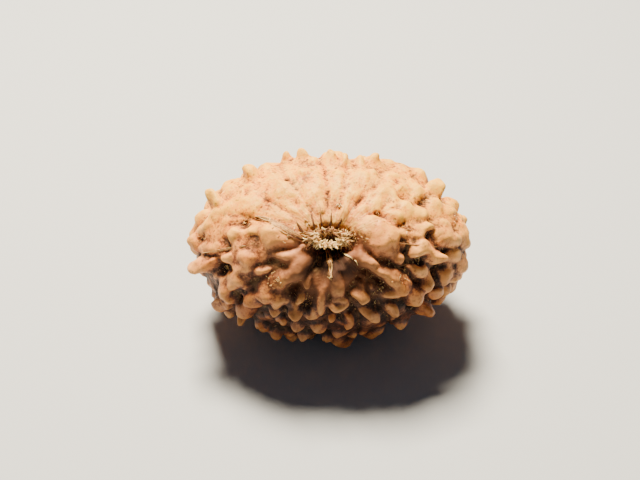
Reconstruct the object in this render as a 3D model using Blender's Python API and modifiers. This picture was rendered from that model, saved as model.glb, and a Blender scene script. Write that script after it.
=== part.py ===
# A rudraksha seed lying on its side: one hard, lobed stone covered in knobs, and the frayed ring
# of fibre that the stalk left in the pit at its end. +X runs along the stone and the stalk end
# faces the front, -Y.
import math

import bmesh
import bpy
import numpy as np
from mathutils import Matrix, Vector

# The seed is shaped in millimetres and scaled to metres at the end.
MILLIMETRE = 0.001

# The stone without its knobs: half its length, half its width, half its height at the stalk.
BODY = np.array([12.3, 7.75, 9.0])
# How far the stalk end points up from the front.
STALK_TILT = math.radians(43.0)
# Where the middle of the body stands over the floor.
BODY_CENTRE = np.array([0.05, 0.07, 9.5])

# The pit at the stalk end and the small one at the far end: half length, half width, depth.
STALK_PIT = (2.1, 1.32, 1.6)
FAR_PIT = (1.3, 1.0, 0.7)
END_PIT_WALL = 6

# Grooves between the lobes: angle round the stalk from the right, angle close to the stalk, cut,
# and how far out from the stalk it begins, as a share of the body's width.
GROOVES = [
    (20, 28, 0.6, 0.5),
    (43, 43, 0.4, 0.4),
    (65, 65, 0.6, 0.3),
    (81, 81, 0.6, 0.26),
    (95, 95, 0.6, 0.26),
    (113, 113, 0.6, 0.26),
    (133, 133, 0.55, 0.3),
    (155, 155, 0.45, 0.22),
    (188, 188, 0.45, 0.62),
    (218, 216, 0.9, 0.34),
    (246, 246, 0.8, 0.26),
    (268, 268, 1.0, 0.22),
    (282, 282, 1.0, 0.26),
    (296, 296, 1.0, 0.26),
    (319, 319, 0.9, 0.3),
    (356, 373, 0.7, 0.62),
]
GROOVE_WIDTH = 0.17
GROOVE_DEPTH = 0.24
# How far a groove strays from its straight line, in degrees, and how wide the noise is.
GROOVE_WAVER = 4.5
GROOVE_WAVER_WIDTH = 3.4
# The share of a groove that is lost on the knobs, and the heights over the body where that is.
GROOVE_LOSS = 0.7
GROOVE_LOSS_HEIGHTS = (0.7, 1.5)
# How far out from the stalk a groove turns from its near angle to its far one.
GROOVE_TURNS = (0.3, 0.6)
GROOVE_START = 0.16

# The lobes swell between the grooves, and the knobs stand on a bed that fades near the stalk,
# between these distances from it as shares of the body's width.
LOBE_SWELL = 0.3
BED_AT_STALK = 0.1
BED_RISE = 0.4
BED_FROM_TO = (0.3, 0.65)
# On the upper side the bed is thicker, where the knobs run together, and the grooves are wider.
UPPER_RISE = 0.36
UPPER_WIDER = 1.4

# A knob's shape, as shares of its own length, width and height: its tip is a round cap and its
# root flares out below, and its tail end is lower than its head. A knob with a sharper tip than
# the limit has straighter flanks, down to the sharp flare. Low, wide knobs have blunt tips:
# the tip's share of the width starts from the first value, and changes with height and width.
TIP_SHARE = (0.52, -0.13, 0.06)
TIP_SHARE_LIMITS = (0.3, 0.56)
RIDGE_SHARE = 0.45
ROOT_LENGTH = 0.66
ROOT_WIDTH = 0.98
ROOT_DEPTH = 0.8
ROOT_SPREAD = 0.3
ROOT_FLARE = 1.3
SHARP_FLARE = 0.6
CAP_OF_HEIGHT = 0.75
TAIL_DROP = 0.28

# The eye that the knobs below were read by: its angle above the floor, its distance from the
# body's middle, its focal length in pixels, and the pixel of the picture's centre and the body's.
EYE_ANGLE = math.radians(40.0)
EYE_DISTANCE = 100.0
EYE_FOCAL = 1018.0
PICTURE_CENTRE = (320.0, 240.0)
BODY_PIXEL = (329.5, 246.0)

# Knobs that the eye sees: the pixel across and down of the tip, then the knob's height, length
# and width in millimetres, the turn of its length in degrees, how far its tip leans that way, and
# for a pointed or blunt one its tip's share of the width.
KNOBS_TOP_EDGE = [
    (247.5, 165, 2.3, 2.9, 2.2, 125, 0.4, 0.24),
    (258, 177, 1.2, 3, 2.4, 300, 0, 0.4),
    (267, 165, 1.5, 3, 2.8, 110, 0, 0.3),
    (285, 151, 2.1, 2.6, 2.4, 100, 0, 0.18),
    (300.5, 149.5, 2.2, 3.4, 3.4, 95, 0, 0.18),
    (312, 157, 1.6, 3, 2.7, 85, 0, 0.24),
    (330.5, 150.5, 2.2, 2.6, 2.2, 90, 0, 0.18),
    (345.5, 153, 2, 2.4, 1.9, 90, 0, 0.2),
    (362, 156, 1.8, 2.7, 2.1, 85, 0, 0.24),
    (376, 151.5, 2.2, 2.9, 2.5, 80, 0, 0.2),
    (393, 160, 1.6, 4, 3.4, 70, 0, 0.5),
    (409, 160.5, 1.8, 4, 3.4, 60, 0, 0.5),
    (424, 167, 1.9, 3.6, 3, 50, 0, 0.5),
    (417, 186, 1.3, 4.4, 3, 50, 0, 0.56),
]
KNOBS_RIGHT = [
    (443, 180.5, 2.5, 2.5, 1.7, 17, 0.6, 0.46),
    (428, 188, 1.3, 2.2, 1.3, 17, 0),
    (415, 194, 0.9, 2, 1.3, 17, 0),
    (453, 212, 1.5, 4.4, 3.2, -38, 0, 0.5),
    (464, 225, 1.7, 3.6, 3, -55, 0, 0.5),
    (470, 236.5, 1.9, 3.4, 2.8, -5, 0, 0.5),
    (450, 236, 1.7, 5.4, 2.4, -3, 0),
    (446, 226, 1.35, 4, 2.6, -15, 0, 0.56),
    (416, 232, 1.4, 4, 2.1, 12, 0.2, 0.5),
    (430, 227.5, 1.5, 2.6, 1.6, 15, 0.4, 0.34),
    (424, 250, 1.8, 4.8, 2.6, -16, 0.2, 0.42),
    (445, 258, 2.3, 2.3, 1.4, -18, 0.7, 0.26),
    (409, 246, 1.2, 1.8, 1.5, -30, 0),
    (458, 257, 1.6, 3, 2.2, -30, 0, 0.5),
    (466.5, 266, 1.9, 3.2, 2.2, -75, 0, 0.45),
    (446, 269, 1.5, 2.4, 1.3, -80, 0.2, 0.42),
    (451, 273, 1.3, 4, 2.6, -80, 0, 0.56),
    (460, 281, 1.7, 3.6, 2.4, -105, 0, 0.5),
    (453, 293, 1.6, 2.6, 1.8, -125, 0, 0.45),
    (441, 297, 1.6, 3, 1.6, 195, 0, 0.5),
    (430, 286, 1.6, 3, 2, -70, 0, 0.5),
    (420, 274, 1.5, 3.4, 1.7, 0, 0),
]
KNOBS_RIGHT_OF_SCAR = [
    (383, 235, 1.6, 4, 3.2, -40, 0),
    (365, 247, 0.7, 2.2, 1.5, 215, 0),
    (395, 248, 1.2, 2.6, 2, 285, 0),
    (399, 261, 1.3, 1.7, 1.2, -40, 0),
    (369.5, 264.5, 1.6, 3, 1.35, -32, 0, 0.5),
    (384, 275, 1.7, 3, 1.45, -36, 0, 0.5),
    (395, 283, 1.75, 2.6, 1.7, -42, 0, 0.5),
    (404.5, 289.5, 1.85, 3, 2.6, -55, 0.1, 0.48),
    (390, 297, 1.6, 2.8, 1.7, -5, 0, 0.45),
    (394, 315, 1.8, 2.8, 2.2, -45, 0.3, 0.26),
    (404, 332, 1.9, 3.4, 2.6, -50, 0.3, 0.26),
    (419.5, 300, 1.9, 3.2, 2.4, -75, 0, 0.42),
    (433, 317, 2.3, 2.6, 2.1, -52, 0.5, 0.28),
    (420, 291, 1.2, 1.7, 0.9, -80, 0),
]
KNOBS_BELOW_SCAR = [
    (288, 256, 1.15, 3.4, 1.6, 190, 0, 0.5),
    (303, 256, 0.95, 2.4, 1.8, -60, 0, 0.5),
    (297, 270, 1.35, 4.4, 2.3, 238, 0, 0.5),
    (307, 283, 1.1, 1.8, 0.8, 258, 0),
    (292.5, 319, 1.9, 2, 1.8, 265, 0.2, 0.38),
    (289, 306, 1.3, 2.6, 1.3, 255, 0, 0.42),
    (300, 302, 1.1, 1.8, 0.9, 250, 0),
    (320, 309, 1.5, 3.6, 1.2, 262, 0, 0.42),
    (311, 319, 1.5, 2.4, 1.8, 255, 0, 0.42),
    (303, 341, 1.8, 2, 2.2, 268, 0, 0.4),
    (287, 341, 1.5, 1.3, 1.2, 262, 0),
    (275, 344, 2.3, 1.7, 1.3, 260, 0.4, 0.3),
    (256, 331, 1.7, 1.7, 1.4, 252, 0),
    (296, 330, 1.5, 1.9, 1.5, 265, 0),
    (318, 334, 1.6, 2, 1.6, 268, 0),
    (327, 342, 1.6, 1.6, 1.4, 268, 0),
    (353, 342, 1.5, 1.6, 1.5, 272, 0),
    (338, 291, 1.5, 2.8, 2, 272, 0, 0.5),
    (338, 307, 1.6, 2, 2.2, 272, 0, 0.5),
    (332, 321, 1.5, 1.3, 0.9, 270, 0),
    (348.5, 326, 1.9, 2.2, 1, 265, 0),
    (340, 340, 1.7, 1.8, 2.4, 270, 0, 0.4),
    (347, 272, 0.8, 3.6, 2, 285, 0, 0.56),
    (362, 302, 1.5, 3.2, 1.6, -27, 0, 0.4),
    (370, 319, 1.7, 3.2, 1.7, -28, 0, 0.36),
    (362, 287, 0.9, 1.7, 0.9, 285, 0),
    (381, 337, 1.5, 1.9, 1.9, -60, 0, 0.4),
    (363, 338, 1.4, 1.8, 2, 270, 0, 0.4),
    (325, 292, 0.9, 2, 1.2, 265, 0),
]
KNOBS_LOWER_LEFT = [
    (224, 261, 1.6, 3.2, 1.9, 180, 0, 0.42),
    (240, 259, 1.5, 3.6, 2.2, 0, 0, 0.45),
    (191.5, 268, 2.5, 4.2, 1.8, 186, 0.9, 0.34),
    (208, 264, 1.5, 3, 1.7, 188, 0, 0.45),
    (217, 275, 0.9, 1.8, 0.8, 262, 0),
    (236, 283, 1.8, 4.6, 3.8, 215, 0, 0.52),
    (226, 290, 1.6, 3, 2.4, 235, 0, 0.5),
    (260, 272, 1.45, 3, 1.7, 200, 0, 0.42),
    (251, 257, 0.8, 2.2, 1.6, 200, 0),
    (216, 311.5, 2.3, 3.6, 2.6, 248, 0.5, 0.38),
    (223, 299, 2, 4.4, 2.7, 245, 0, 0.45),
    (207, 285, 0.9, 1.6, 1.4, 220, 0),
    (267, 289, 1.5, 4.4, 2.6, 190, 0, 0.5),
    (283, 279, 1.1, 3.4, 1.8, 238, 0, 0.5),
    (241, 315.5, 2.1, 3.4, 2.4, 245, 0.3, 0.42),
    (250, 303, 2, 3.6, 2.4, 225, 0, 0.46),
    (264, 300, 1.9, 4.2, 2.1, 180, 0, 0.46),
    (277, 305, 1.9, 3, 2.2, 250, 0, 0.46),
    (272, 315, 1.6, 1.4, 1.2, 250, 0),
    (234, 327, 2, 1.2, 0.9, 250, 0.3, 0.3),
    (265, 336, 1.7, 1.1, 1.1, 258, 0),
    (279, 326, 1.5, 1.5, 1.2, 262, 0),
]
KNOBS_LEFT = [
    (205.5, 192, 2.7, 2.6, 1.5, 146, 0.8, 0.36),
    (225, 204, 1.4, 3.4, 1.9, 148, 0, 0.42),
    (216, 212, 1.5, 3.8, 2.8, 165, 0, 0.52),
    (222, 224, 1.2, 4.2, 3, 175, 0, 0.56),
    (201, 226, 1.6, 4.4, 2.6, 205, 0, 0.52),
    (188.5, 241, 1.9, 3, 2.6, 195, 0, 0.45),
    (209, 237, 1.3, 4.8, 3.4, 185, 0, 0.56),
    (207, 249, 1.5, 4.8, 1.8, 188, 0, 0.5),
    (237, 210, 1, 3.4, 2.6, 165, 0, 0.56),
    (232, 231, 1.5, 2.8, 2, 235, 0.1, 0.45),
    (250, 234, 1.1, 4.4, 2.8, 180, 0, 0.5),
    (247, 249, 1.15, 4.8, 3.6, 200, 0, 0.56),
    (263, 262, 1.1, 4.2, 2.6, 205, 0, 0.56),
    (273, 236, 1.3, 4, 2.3, 176, 0),
    (261, 252, 1.1, 3.2, 2.2, 200, 0),
    (283, 215, 0.5, 2.2, 0.9, -18, 0),
    (256, 213, 0.6, 2.4, 1.6, 150, 0),
    (237, 245, 0.9, 3.4, 2, 190, 0, 0.56),
]
KNOBS_UPPER = [
    (227, 187, 1.65, 3.4, 2.8, 120, 0, 0.45),
    (241, 195, 1.3, 4.4, 3.6, 140, 0, 0.56),
    (238, 179, 1.55, 3, 2.4, 60, 0, 0.45),
    (272, 182, 1.1, 2.5, 2.1, 120, 0, 0.56),
    (287, 186, 1, 2.8, 1.6, 110, 0, 0.56),
    (304, 169, 1.3, 2.2, 1.8, 100, 0, 0.56),
    (316, 173, 1.1, 2, 1.4, 95, 0, 0.56),
    (338, 172, 1.3, 2.2, 2, 90, 0, 0.56),
    (359, 174, 1.3, 2.5, 2, 80, 0, 0.56),
    (373, 170, 1.2, 2, 1.6, 75, 0, 0.56),
    (402, 181, 1.4, 2.8, 2.2, 60, 0, 0.56),
    (385, 190, 1.2, 3, 2.1, 65, 0, 0.56),
    (378, 200, 1, 3, 1.8, 55, 0, 0.56),
    (321, 195, 0.65, 3.8, 1.3, 97, 0, 0.56),
    (345, 195, 0.65, 3.8, 1.3, 85, 0, 0.56),
    (300, 198, 0.65, 3.8, 1.3, 112, 0, 0.56),
    (365, 205, 0.75, 3.8, 1.6, 60, 0, 0.56),
    (395, 206, 1.1, 2.8, 2.1, 40, 0, 0.56),
    (408, 208, 1.3, 2.8, 2.1, 30, 0, 0.56),
    (436, 203, 1.45, 2.8, 2.3, 30, 0, 0.56),
    (398, 215, 1.3, 1.6, 1.4, 20, 0, 0.56),
    (424, 212, 1.4, 2.8, 2, 20, 0, 0.56),
]
KNOBS = (
    KNOBS_TOP_EDGE
    + KNOBS_RIGHT
    + KNOBS_RIGHT_OF_SCAR
    + KNOBS_BELOW_SCAR
    + KNOBS_LOWER_LEFT
    + KNOBS_LEFT
    + KNOBS_UPPER
)

# Pits the eye sees: pixel across and down, depth, length and width in millimetres, and turn.
PITS = [
    (435.5, 272, 2.4, 1.9, 1.3, 75),
    (444.5, 287.5, 2, 1.7, 1, 18),
    (415, 261, 1.3, 1.5, 0.9, 5),
    (407, 275, 0.7, 2.2, 0.8, -50),
    (293, 295, 0.9, 1.6, 1.3, 20),
    (308, 308, 1, 2, 1, 75),
    (378, 291, 1, 1.5, 1.1, 60),
    (371, 280, 1.5, 2.4, 1, -38),
    (356, 283, 0.6, 0.9, 0.7, 0),
    (341, 318, 0.9, 1, 0.8, 80),
    (228, 270, 1.3, 1.8, 1.2, 0),
    (257, 317, 1.3, 2.1, 1.3, 0),
    (246.5, 223.5, 0.7, 1.9, 0.8, 5),
    (253, 191, 0.4, 1.4, 0.5, 100),
    (421, 198, 0.5, 1.6, 1, 60),
    (412, 204, 0.3, 0.8, 0.6, 0),
    (391, 182, 0.6, 1, 0.9, 0),
    (377, 214, 0.35, 1.5, 0.5, -12),
    (363, 200, 0.3, 1, 0.8, 0),
    (340, 205, 0.12, 0.8, 0.6, 90),
    (328, 190, 0.25, 0.8, 0.4, 90),
    (294, 199, 0.25, 0.5, 0.45, 90),
    (286, 178, 0.25, 0.7, 0.4, 0),
    (407, 229, 0.3, 1.4, 0.6, 10),
    (206, 236, 0.3, 1.2, 0.8, 0),
    (257, 235, 0.2, 0.7, 0.5, 20),
    (454, 221, 0.4, 0.7, 0.4, 0),
    (270, 264, 0.6, 1.6, 0.6, 10),
    (284, 248.5, 0.35, 1.6, 0.8, 0),
    (247, 295, 0.8, 1.8, 0.9, 30),
    (338, 302, 0.4, 1.4, 0.4, 0),
    (374, 254, 0.3, 1.6, 0.8, -25),
    (316, 260, 2, 2.4, 1.5, 262),
    (323, 252, 1.5, 3.2, 0.9, 0),
    (337, 257, 1.9, 1.9, 1, 285),
    (330, 332, 0.6, 1.6, 0.7, 268),
    (407, 309, 0.9, 1.5, 0.9, 290),
    (278, 281, 0.35, 1.6, 0.9, 240),
    (431, 237, 0.2, 1.4, 0.6, 10),
    (268, 199, 0.25, 0.6, 0.5, 60),
    (402, 248, 0.6, 1.8, 0.5, -70),
]
PIT_SHARE = 0.6
# How ragged the pits' edges are: width of the noise and how far an edge strays.
PIT_RAGGED = (0.9, 0.3)
PIT_WALL = 1.3

# Slow drift of the grooves and pits, and the roughness of the skin: width of the noise, how far
# it moves the surface, and its seed.
DRIFT = [(1.8, 0.16, 11), (0.8, 0.05, 21)]
ROUGHNESS = [(1.1, 0.1, 61), (0.55, 0.05, 41)]

# The knobs out of the eye's sight follow a rule: rows down each lobe from this angle off the
# stalk to that one, each knob kept clear of those already placed. They stand tallest between
# the two angles of tall ones.
HIDDEN_FROM = 84.0
HIDDEN_TO = 158.0
HIDDEN_STEP = 15.5
HIDDEN_CLEARANCE = 1.6
# A lobe wider than the first of these carries three knobs in a row, wider than the second two.
HIDDEN_ROOM = (4.2, 2.6)
HIDDEN_PAIR = (-0.25, 0.25)
HIDDEN_THREE = (-0.32, 0.0, 0.32)
HIDDEN_HEIGHTS = (1.4, 2.3)
HIDDEN_TALL = (98.0, 130.0)
HIDDEN_SHORTER = 0.75
HIDDEN_TIPS = (0.7, 1.1)
HIDDEN_LENGTHS = (1.1, 1.7)
HIDDEN_WIDTHS = (0.95, 1.4)
HIDDEN_WIDEST = 2.4
BODY_REACH = 10.3

# Four knobs on the underside reach the floor: right and back of the body's middle.
FEET = [(3.5, -2.0), (-3.7, -1.6), (3.1, 2.4), (-2.9, 2.2)]
FOOT_SIZE = (2.8, 2.4)
FOOT_TIP = 0.32
# How far the feet reach below the floor before they are cut flat, and the others stop above it.
FOOT_CUT = 0.3
FLOOR_CLEARANCE = 0.5

# How far the knobs stray from even shapes, for each width of noise, and the webs between them:
# how wide a hollow a web closes, and the share of its depth that is closed.
KNOB_STRAY = [(2.2, 0.3, 101), (1.0, 0.14, 111)]
WEB_WIDTH = 0.5
WEB_SHARE = 0.2

# The block under the floor that cuts the feet flat, in metres.
CUTTER_SIDE = 0.06

# Fusing and smoothing of the stone, and its triangle count.
STONE_VOXEL = 0.18
STONE_SMOOTHING = 5
STONE_TRIANGLES = 9000

# The fibre ring: its middle line's half length and half width, its thickness and its height.
RING = (1.5, 0.8)
RING_THICKNESS = 0.3
RING_LEVEL = 8.85
FIBRES = 26
FIBRE_ENDS = (0.19, 0.09)
FIBRE_LENGTHS = (0.75, 1.35)
FIBRE_VOXEL = 0.1
FIBRE_TRIANGLES = 1400

STONE_COLOUR = (0.53, 0.3, 0.16)
FIBRE_COLOUR = (0.62, 0.44, 0.24)

# The body's own axes in the scene: along its length, across it, and out of the stalk end.
AXES = np.array([
    [1.0, 0.0, 0.0],
    [0.0, math.sin(STALK_TILT), math.cos(STALK_TILT)],
    [0.0, -math.cos(STALK_TILT), math.sin(STALK_TILT)],
])
EYE_OUT = np.array([0.0, -math.cos(EYE_ANGLE), math.sin(EYE_ANGLE)])
EYE_UP = np.array([0.0, math.sin(EYE_ANGLE), math.cos(EYE_ANGLE)])
EYE_RIGHT = np.array([1.0, 0.0, 0.0])
EYE = (
    EYE_OUT * EYE_DISTANCE
    - EYE_RIGHT * (BODY_PIXEL[0] - PICTURE_CENTRE[0]) / EYE_FOCAL * EYE_DISTANCE
    - EYE_UP * (PICTURE_CENTRE[1] - BODY_PIXEL[1]) / EYE_FOCAL * EYE_DISTANCE
)


def unit(vectors):
    return vectors / np.linalg.norm(vectors, axis=-1, keepdims=True)


def ease(values, start, end):
    share = np.clip((values - start) / (end - start), 0.0, 1.0)
    return share * share * (3.0 - 2.0 * share)


def noise(points, cell, seed, size=24):
    """Smooth seeded noise, about -1 to 1, with bumps about as wide as a cell."""
    slopes = unit(np.random.default_rng(seed).standard_normal((size, size, size, 3)))
    grid = points / cell + 500.0
    corner = np.floor(grid).astype(int)
    part = grid - corner
    blend = part**3 * (part * (part * 6.0 - 15.0) + 10.0)
    total = np.zeros(len(points))
    for step in np.ndindex(2, 2, 2):
        step = np.array(step)
        slope = slopes[tuple(((corner + step) % size).T)]
        weight = np.where(step == 1, blend, 1.0 - blend).prod(axis=1)
        total += weight * ((part - step) * slope).sum(axis=1)
    return total * 1.6


def wander(points, cell, amount, seed):
    shifts = [noise(points, cell, seed + axis) for axis in range(3)]
    return points + amount * np.stack(shifts, axis=1)


def first_hit(start, direction, growth):
    """Unit-sphere direction where a scene ray first meets the body grown by this much."""
    size = BODY + growth
    start = AXES @ start / size
    direction = AXES @ direction / size
    along = direction @ direction
    half = start @ direction
    inside = half * half - along * (start @ start - 1.0)
    if inside < 0.0:
        return unit(start - direction * half / along)
    return unit(start + direction * (-half - math.sqrt(inside)) / along)


def hit_at_pixel(across, down, growth):
    ray = (
        EYE_RIGHT * (across - PICTURE_CENTRE[0]) / EYE_FOCAL
        + EYE_UP * (PICTURE_CENTRE[1] - down) / EYE_FOCAL
        - EYE_OUT
    )
    return first_hit(EYE, ray, growth)


def pixel_of(point):
    ray = point @ AXES - EYE
    depth = -ray @ EYE_OUT
    across = PICTURE_CENTRE[0] + EYE_FOCAL * (ray @ EYE_RIGHT) / depth
    return across, PICTURE_CENTRE[1] - EYE_FOCAL * (ray @ EYE_UP) / depth


def placed(direction, heading):
    """Foot point on the body, outward normal, and heading made square to the normal."""
    foot = BODY * direction
    normal = unit(direction / BODY)
    heading = heading - normal * (heading @ normal)
    if np.linalg.norm(heading) < 0.02:
        heading = foot * [1.0, 1.0, 0.0]
        heading = heading - normal * (heading @ normal)
    return foot, normal, unit(heading)


def tip_share(height, width):
    start, by_height, by_width = TIP_SHARE
    return float(np.clip(start + by_height * (height - 0.6) + by_width * width, *TIP_SHARE_LIMITS))


def seen_knob(across, down, height, length, width, turn, lean, tip=None):
    """Moves the knob's foot until its tip shows at the pixel that was read."""
    ahead_across = 4.0 * math.cos(math.radians(turn))
    ahead_down = -4.0 * math.sin(math.radians(turn))
    shift = np.zeros(2)
    for _ in range(4):
        at_across = across + shift[0]
        at_down = down + shift[1]
        direction = hit_at_pixel(at_across, at_down, height)
        ahead = hit_at_pixel(at_across + ahead_across, at_down + ahead_down, height)
        foot, normal, heading = placed(direction, BODY * (ahead - direction))
        top = foot + normal * height + heading * lean
        shift += 0.9 * (np.array([across, down]) - pixel_of(top))
        shift *= min(1.0, 14.0 / max(np.linalg.norm(shift), 1.0))
    return foot, normal, heading, height, length, width, lean, tip or tip_share(height, width)


def hidden_knobs(seen):
    random = np.random.default_rng(7)
    taken = np.array([knob[0] for knob in seen])
    edges = [groove[0] for groove in GROOVES]
    found = []
    for lobe, edge in enumerate(edges):
        span = (edges[(lobe + 1) % len(edges)] - edge) % 360
        down = HIDDEN_FROM
        while down < HIDDEN_TO:
            room = math.radians(span) * math.sin(math.radians(down)) * BODY_REACH
            row = (0.0,)
            if room > HIDDEN_ROOM[1]:
                row = HIDDEN_PAIR
            if room > HIDDEN_ROOM[0]:
                row = HIDDEN_THREE
            for place, side in enumerate(row):
                round_angle = math.radians(edge + span * (0.5 + side + random.normal(0.0, 0.04)))
                down_angle = math.radians(down + random.normal(0.0, 3.0) + 6.0 * (place % 2))
                ring = math.sin(down_angle)
                direction = np.array([
                    ring * math.cos(round_angle),
                    ring * math.sin(round_angle),
                    math.cos(down_angle),
                ])
                swerve = random.normal(0.0, 0.5)
                tall = HIDDEN_TALL[0] < down < HIDDEN_TALL[1]
                height = random.uniform(*HIDDEN_HEIGHTS) * (1.0 if tall else HIDDEN_SHORTER)
                width = min(room / len(row), HIDDEN_WIDEST) * random.uniform(*HIDDEN_WIDTHS)
                length = width * random.uniform(*HIDDEN_LENGTHS)
                tip = tip_share(height, width) * random.uniform(*HIDDEN_TIPS)
                if np.linalg.norm(taken - BODY * direction, axis=1).min() < HIDDEN_CLEARANCE:
                    continue
                outward = np.array([
                    math.cos(down_angle) * math.cos(round_angle),
                    math.cos(down_angle) * math.sin(round_angle),
                    -ring,
                ])
                foot, normal, heading = placed(direction, BODY * outward)
                across = np.cross(normal, heading)
                heading = heading * math.cos(swerve) + across * math.sin(swerve)
                found.append((foot, normal, heading, height, length, width, 0.0, tip))
            down += HIDDEN_STEP + random.uniform(-1.5, 1.5)
    return found


def above_floor(knobs):
    """Shortens each knob whose tip would come too close to the floor."""
    lowest = FLOOR_CLEARANCE - BODY_CENTRE[2]
    kept = []
    for foot, normal, heading, height, length, width, lean, tip in knobs:
        fall = -(normal @ AXES)[2]
        if fall > 0.1:
            height = min(height, ((foot @ AXES)[2] - lowest) / fall)
        kept.append((foot, normal, heading, max(height, 0.5), length, width, lean, tip))
    return kept


def foot_knobs():
    feet = []
    for right, back in FEET:
        direction = first_hit(np.array([right, back, -40.0]), np.array([0.0, 0.0, 1.0]), 1.0)
        foot, normal, heading = placed(direction, AXES @ np.array([right, back, 0.0]))
        height = ((foot @ AXES)[2] + BODY_CENTRE[2] + FOOT_CUT) / -(normal @ AXES)[2]
        feet.append((foot, normal, heading, height, *FOOT_SIZE, 0.0, FOOT_TIP))
    return feet


def add_knob(form, knob):
    """A ball pulled into a knob: a round cap, its tail lower than its head, on a flared root."""
    foot, normal, heading, height, length, width, lean, tip = knob
    tip_width = width * tip
    tip_length = tip_width + RIDGE_SHARE * max(0.0, length - width)
    cap = min(CAP_OF_HEIGHT * height, tip_width + 0.1)
    ball = bmesh.ops.create_icosphere(form, subdivisions=3, radius=1.0)["verts"]
    along, across, up = unit(np.array([vert.co for vert in ball])).T
    out = np.maximum(np.hypot(along, across), 1e-6)
    root = np.clip(-up, 0.0, 1.0)
    flare = root ** (ROOT_FLARE * min(1.0, max(SHARP_FLARE, tip / TIP_SHARE_LIMITS[0])))
    half_length = tip_length + flare * (length * ROOT_LENGTH - tip_length + ROOT_SPREAD)
    half_width = tip_width + flare * (width * ROOT_WIDTH - tip_width + ROOT_SPREAD)
    reach = np.where(up > 0.0, out, np.minimum(1.0, out / 0.4)) / out
    forward = half_length * along * reach
    sideways = half_width * across * reach
    rise = np.where(up > 0.0, height - cap + cap * up, (height - cap) * (1.0 - root) - ROOT_DEPTH * root)
    tail = np.clip(-2.0 * forward / length, 0.0, 1.3)
    rise -= np.maximum(rise, 0.0) * TAIL_DROP * tail
    forward += lean * np.clip(rise / height, 0.0, 1.0) ** 1.2
    spots = foot + np.outer(rise, normal) + np.outer(forward, heading)
    spots += np.outer(sideways, np.cross(normal, heading))
    for cell, amount, seed in KNOB_STRAY:
        spots = wander(spots, cell, amount, seed)
    for vert, spot in zip(ball, spots):
        vert.co = spot


def lobes(points):
    """Outward directions and normals at these points, the lobes' swell and the grooves' cut."""
    directions = unit(points / BODY)
    normals = unit(directions / BODY)
    spread = np.hypot(directions[:, 0], directions[:, 1])
    turn = np.arctan2(directions[:, 1], directions[:, 0])
    angles, near_angles, cuts, starts = np.array(GROOVES).T
    edges = near_angles + np.outer(ease(spread, *GROOVE_TURNS), angles - near_angles)
    waver = GROOVE_WAVER * noise(directions * BODY, GROOVE_WAVER_WIDTH, 31)
    gaps = np.abs(((np.degrees(turn) + waver)[:, None] - edges + 180.0) % 360.0 - 180.0)
    closest = np.argsort(gaps, axis=1)[:, :2]
    gap, next_gap = np.take_along_axis(gaps, closest, axis=1).T
    cut = cuts[closest[:, 0]]
    begin = starts[closest[:, 0]]
    arc = spread * np.hypot(BODY[0] * np.sin(turn), BODY[1] * np.cos(turn))
    across_lobe = 2.0 * gap / (gap + next_gap)
    swell = cut * np.sqrt(1.0 - (1.0 - across_lobe) ** 2) * np.minimum(1.25 * spread, 1.0) ** 1.2
    upper = ease(directions[:, 1], 0.35, 0.75) * ease(directions[:, 2], -0.1, 0.2)
    distance = np.radians(gap) * arc / (1.0 + UPPER_WIDER * upper)
    groove = cut * np.exp(-((distance / GROOVE_WIDTH) ** 2)) * ease(spread, begin, begin + GROOVE_START)
    bed = BED_AT_STALK + BED_RISE * ease(spread, *BED_FROM_TO) + UPPER_RISE * upper
    return directions, normals, bed + LOBE_SWELL * swell, groove


def webbed(points, links):
    """Part fills the narrow hollows between the knobs, so that webs join them."""
    first, second = links.T
    count = np.bincount(links.ravel(), minlength=len(points))
    evened = points
    for _ in range(round(2.0 * (WEB_WIDTH / STONE_VOXEL) ** 2)):
        total = [
            np.bincount(first, evened[second, axis], len(points))
            + np.bincount(second, evened[first, axis], len(points))
            for axis in range(3)
        ]
        evened = np.stack(total, axis=1) / count[:, None]
    normals = unit(unit(points / BODY) / BODY)
    hollow = ((evened - points) * normals).sum(axis=1)
    return points + WEB_SHARE * normals * np.maximum(hollow, 0.0)[:, None]


def carved(points):
    """Cuts the grooves, pits and fine roughness into the fused stone."""
    for cell, amount, seed in DRIFT:
        points = wander(points, cell, amount, seed)
    directions, normals, level, groove = lobes(points)
    surface = directions * BODY
    ragged = wander(surface, PIT_RAGGED[0], PIT_RAGGED[1], 121)
    height = ((points - surface) * normals).sum(axis=1)
    change = -groove * GROOVE_DEPTH * (1.0 - GROOVE_LOSS * ease(height, *GROOVE_LOSS_HEIGHTS))
    for across, down, depth, length, width, turn in PITS:
        foot, normal, heading, *_ = seen_knob(across, down, 0.8, length, width, turn, 0.0)
        offset = ragged - foot
        along = 2.0 * offset @ heading / length
        beside = 2.0 * offset @ np.cross(normal, heading) / width
        facing = normals @ normal > 0.5
        change -= facing * PIT_SHARE * depth * np.exp(-0.9 * (along**2 + beside**2) ** PIT_WALL)
    for (half_length, half_width, depth), end in ((STALK_PIT, 1.0), (FAR_PIT, -1.0)):
        distance = np.hypot(surface[:, 0] / half_length, surface[:, 1] / half_width)
        change -= (surface[:, 2] * end > 0.0) * depth * np.exp(-0.9 * distance**END_PIT_WALL)
    for cell, amount, seed in ROUGHNESS:
        change += amount * noise(points, cell, seed)
    return points + normals * change[:, None]


def object_from(form, name, collection):
    mesh = bpy.data.meshes.new(name)
    form.to_mesh(mesh)
    form.free()
    thing = bpy.data.objects.new(name, mesh)
    collection.objects.link(thing)
    return thing


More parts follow.
